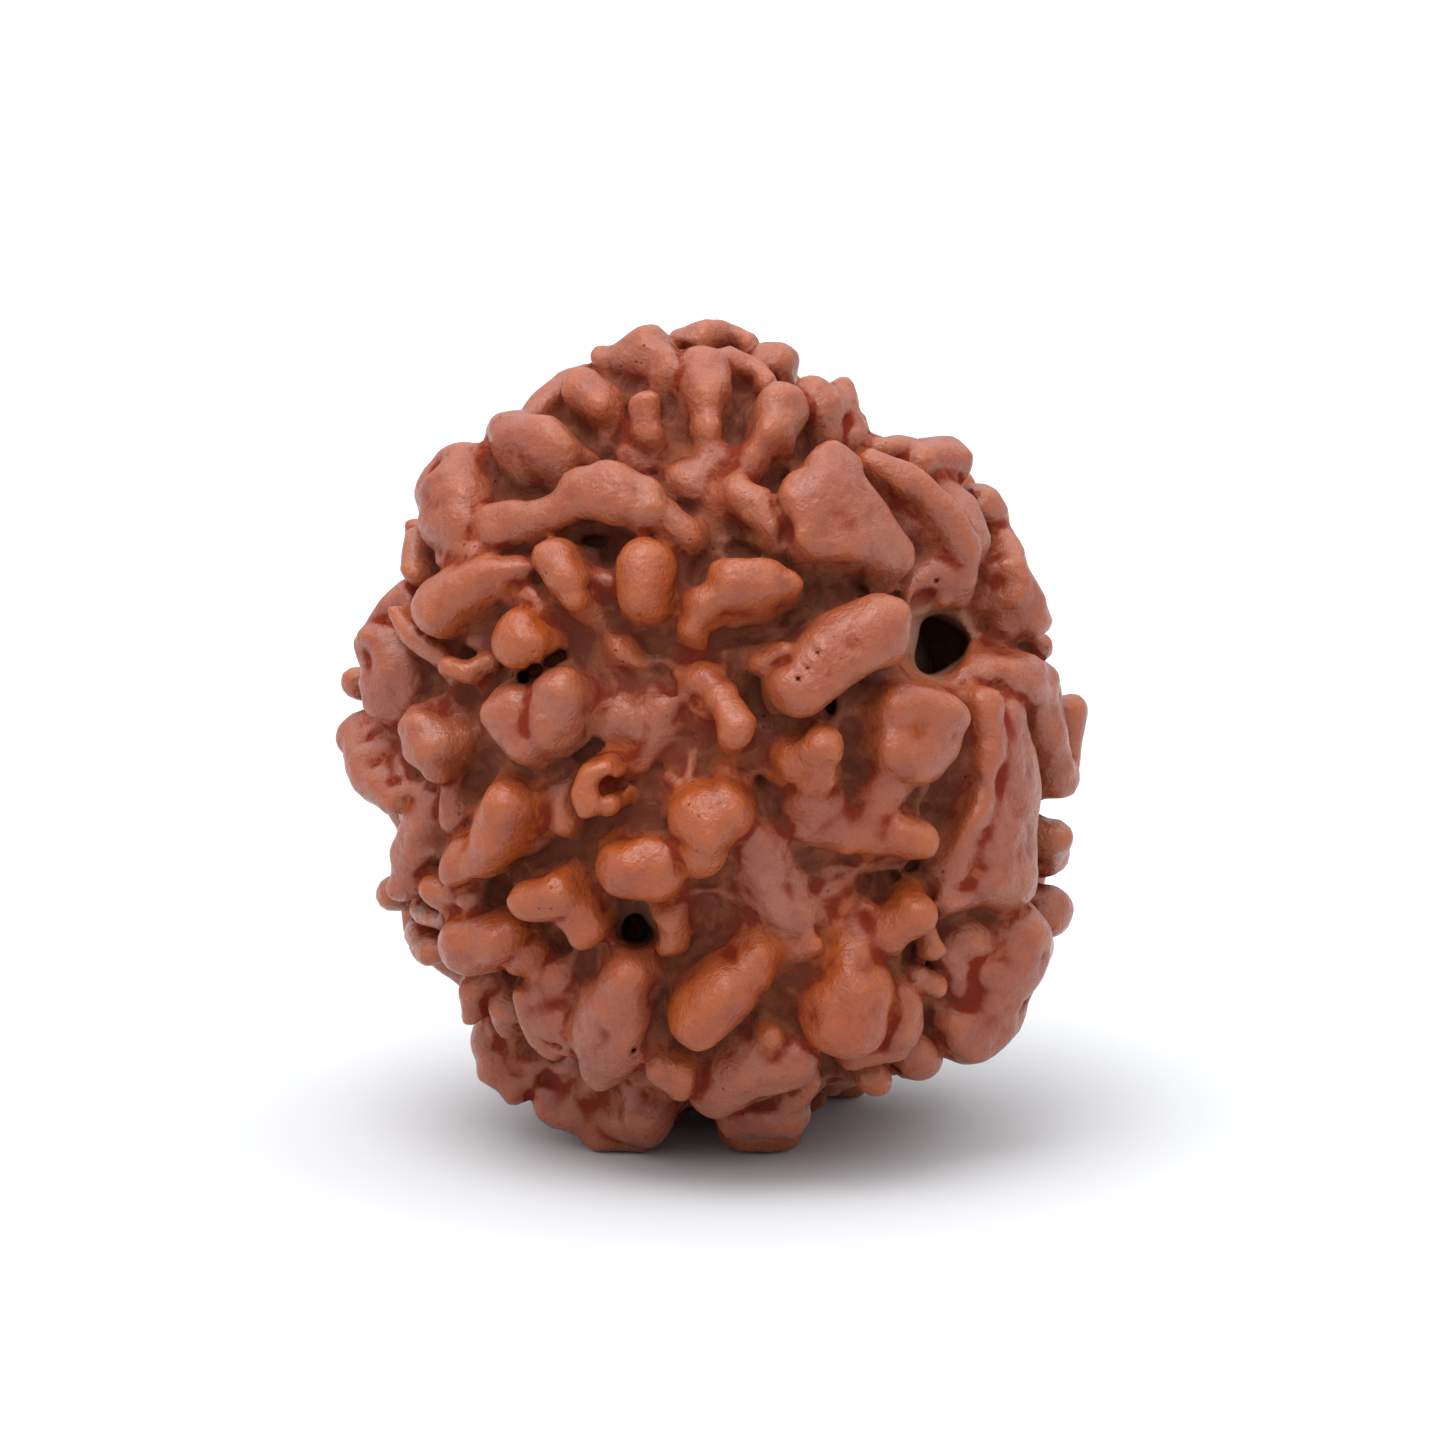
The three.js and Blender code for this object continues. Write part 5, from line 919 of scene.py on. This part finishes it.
def seed_material():
    """Waxy red-brown knobs, a dark red stain on their flanks that is partly painted shade, dusty tan
    valleys with painted shade in the deepest hollows and holes, and fine pores.
    """
    s = Shading("seed_stone")
    rise, snug, deep, tint = (s.attribute(name) for name in ("rise", "snug", "deep", "tint"))
    patches = s.noise(3.2, 4)
    mottle = s.noise(1.2, 5, 0.6, 0.5)
    grain = s.noise(0.45, 5, 0.65)
    speckle = s.noise(0.15, 3)
    colour = s.mix(tint, (0.28, 0.072, 0.034), (0.33, 0.064, 0.011))
    dusty = s.math("MULTIPLY", s.ease(patches, 0.46, 0.66, 0.0, 0.6), s.ease(tint, 0.8, 0.2, 0.15, 1.0))
    colour = s.mix(dusty, colour, (0.31, 0.105, 0.055))
    colour = s.mix(s.ease(mottle, 0.48, 0.66, 0.0, 0.65), colour, (0.25, 0.045, 0.018))
    colour = s.mix(s.ease(grain, 0.5, 0.7, 0.0, 0.4), colour, (0.18, 0.036, 0.018))
    crest = s.ease(snug, 0.44, 0.3, 0.0, 0.6)
    colour = s.mix(crest, colour, (0.36, 0.082, 0.018))
    low = s.math("ADD", rise, s.math("MULTIPLY", mottle, 0.9))
    valley = s.math("MULTIPLY", s.ease(low, 1.5, 0.7), s.ease(snug, 0.68, 0.52))
    colour = s.mix(s.math("MULTIPLY", valley, 0.8), colour, (0.25, 0.125, 0.07))
    # Dark wine-red on the knobs' flanks, where they are partly shut in and above the floor: partly a real
    # stain in patches, partly painted shade.
    flank = s.math("MULTIPLY", s.ease(snug, 0.46, 0.55), s.ease(rise, 0.2, 1.0))
    stain_and_shade = s.math("MULTIPLY", flank, s.ease(mottle, 0.4, 0.54))
    colour = s.mix(s.math("MULTIPLY", stain_and_shade, 0.85), colour, (0.16, 0.018, 0.010))
    # Painted shade: the deepest, most shut-in hollows are darkened towards dark brown.
    shaded_recess = s.ease(deep, 0.52, 0.72)
    colour = s.mix(s.math("MULTIPLY", shaded_recess, 0.5), colour, (0.11, 0.056, 0.037))
    # Painted shade: near black where the surface lies far below the floor, in the holes and the deepest
    # hollows.
    colour = s.mix(s.ease(rise, -0.9, -2.2), colour, (0.04, 0.036, 0.038))
    web = s.math("MULTIPLY", s.ease(s.attribute("web"), 0.22, 0.02), s.ease(grain, 0.3, 0.55))
    colour = s.mix(s.math("MULTIPLY", web, 0.75), colour, (0.50, 0.27, 0.18))
    colour = s.mix(s.ease(speckle, 0.6, 0.75, 0.0, 0.4), colour, (0.15, 0.028, 0.015))
    pore = s.math("MULTIPLY", s.ease(s.cells(0.5), 0.14, 0.05), s.ease(s.noise(2.0, 2), 0.55, 0.66))
    colour = s.mix(s.math("MULTIPLY", pore, 0.7), colour, (0.07, 0.014, 0.012))
    s.put(s.shader.inputs["Base Color"], colour)
    rough = s.math("ADD", s.ease(grain, 0.35, 0.65, 0.26, 0.4), s.math("MULTIPLY", valley, 0.3))
    rough = s.math("ADD", rough, s.math("MULTIPLY", shaded_recess, 0.5), clamp=True)
    s.put(s.shader.inputs["Roughness"], rough)
    gloss = s.math("MULTIPLY", s.ease(snug, 0.58, 0.47, 0.06, 0.5), s.math("SUBTRACT", 1.0, stain_and_shade))
    s.put(s.shader.inputs["Specular IOR Level"], gloss)
    s.shader.inputs["Subsurface Weight"].default_value = 0.2
    s.shader.inputs["Subsurface Radius"].default_value = (1.0, 0.25, 0.12)
    s.shader.inputs["Subsurface Scale"].default_value = 0.5 * MM
    bump = s.bump(mottle, 0.14, 0.8)
    bump = s.bump(s.noise(0.4, 4, 0.6, 0.3), 0.1, 0.8, bump)
    bump = s.bump(speckle, 0.035, 0.7, bump)
    bump = s.bump(s.math("SUBTRACT", 1.0, pore), 0.08, 0.8, bump)
    s.links.new(bump, s.shader.inputs["Normal"])
    return s.material


PAPER_SIZE = 2.4
PAPER_COLOUR = (0.6, 0.612, 0.633, 1)


def make_stage():
    """A wide sheet of white paper."""
    bpy.ops.mesh.primitive_plane_add(size=PAPER_SIZE)
    ground = bpy.context.object
    ground.name = "white_surface"
    paper = bpy.data.materials.new("white_paper")
    paper.use_nodes = True
    shader = paper.node_tree.nodes["Principled BSDF"]
    shader.inputs["Base Color"].default_value = PAPER_COLOUR
    shader.inputs["Roughness"].default_value = 0.9
    ground.data.materials.append(paper)


# Wide lamps far off: name, strength, width in degrees, and the side that the light comes from.
LAMPS = [
    ("top_left_softbox", 1.35, 36, (-0.2, -0.25, 0.9)),
]
# The room's light at the horizon and overhead, and the height at which it is fully that.
ROOM = {"horizon": 0.4, "overhead": 2.0, "full_at": 0.9, "colour": (0.98, 0.99, 1, 1)}


def make_light():
    """A white room that is brighter overhead, and soft lamps."""
    world = bpy.data.worlds.new("white_room")
    world.use_nodes = True
    nodes, links = world.node_tree.nodes, world.node_tree.links
    sky = nodes["Background"]
    place = nodes.new("ShaderNodeTexCoord")
    split = nodes.new("ShaderNodeSeparateXYZ")
    links.new(place.outputs["Generated"], split.inputs[0])
    height = nodes.new("ShaderNodeMapRange")
    height.inputs["From Min"].default_value = 0.0
    height.inputs["From Max"].default_value = ROOM["full_at"]
    height.inputs["To Min"].default_value = ROOM["horizon"]
    height.inputs["To Max"].default_value = ROOM["overhead"]
    links.new(split.outputs["Z"], height.inputs["Value"])
    links.new(height.outputs["Result"], sky.inputs["Strength"])
    sky.inputs["Color"].default_value = ROOM["colour"]
    bpy.context.scene.world = world
    for name, power, angle, at in LAMPS:
        lamp = bpy.data.lights.new(name, "SUN")
        lamp.energy = power
        lamp.angle = math.radians(angle)
        holder = bpy.data.objects.new(name, lamp)
        bpy.context.scene.collection.objects.link(holder)
        holder.location = at
        holder.rotation_euler = (-Vector(at)).to_track_quat("-Z", "Y").to_euler()


FOCAL = 256.6
SENSOR = 36.0
CAMERA_DISTANCE = 0.35
AIM_HEIGHT = (MIDDLE_HEIGHT + 0.07) * MM
AIM_RIGHT, AIM_UP = 0.37 * MM, 0.46 * MM  # how far beside and above that the view is centred


def make_camera():
    """Looks at the seed as the photograph does."""
    back = Vector(TOWARDS_EYE)
    target = Vector((AIM_RIGHT, 0, AIM_HEIGHT)) + Vector(DRAWING_UP) * AIM_UP
    camera = bpy.data.cameras.new("camera")
    camera.lens = FOCAL
    camera.sensor_width = SENSOR
    camera.clip_start = 0.01
    holder = bpy.data.objects.new("camera", camera)
    bpy.context.scene.collection.objects.link(holder)
    holder.location = target + back * CAMERA_DISTANCE
    holder.rotation_euler = (-back).to_track_quat("-Z", "Y").to_euler()
    bpy.context.scene.camera = holder


make_camera()
make_stage()
make_light()
seed = seed_mesh()
seed.data.materials.append(seed_material())
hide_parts("seed")
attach(seed, "root")
bpy.context.scene.view_settings.view_transform = "Standard"
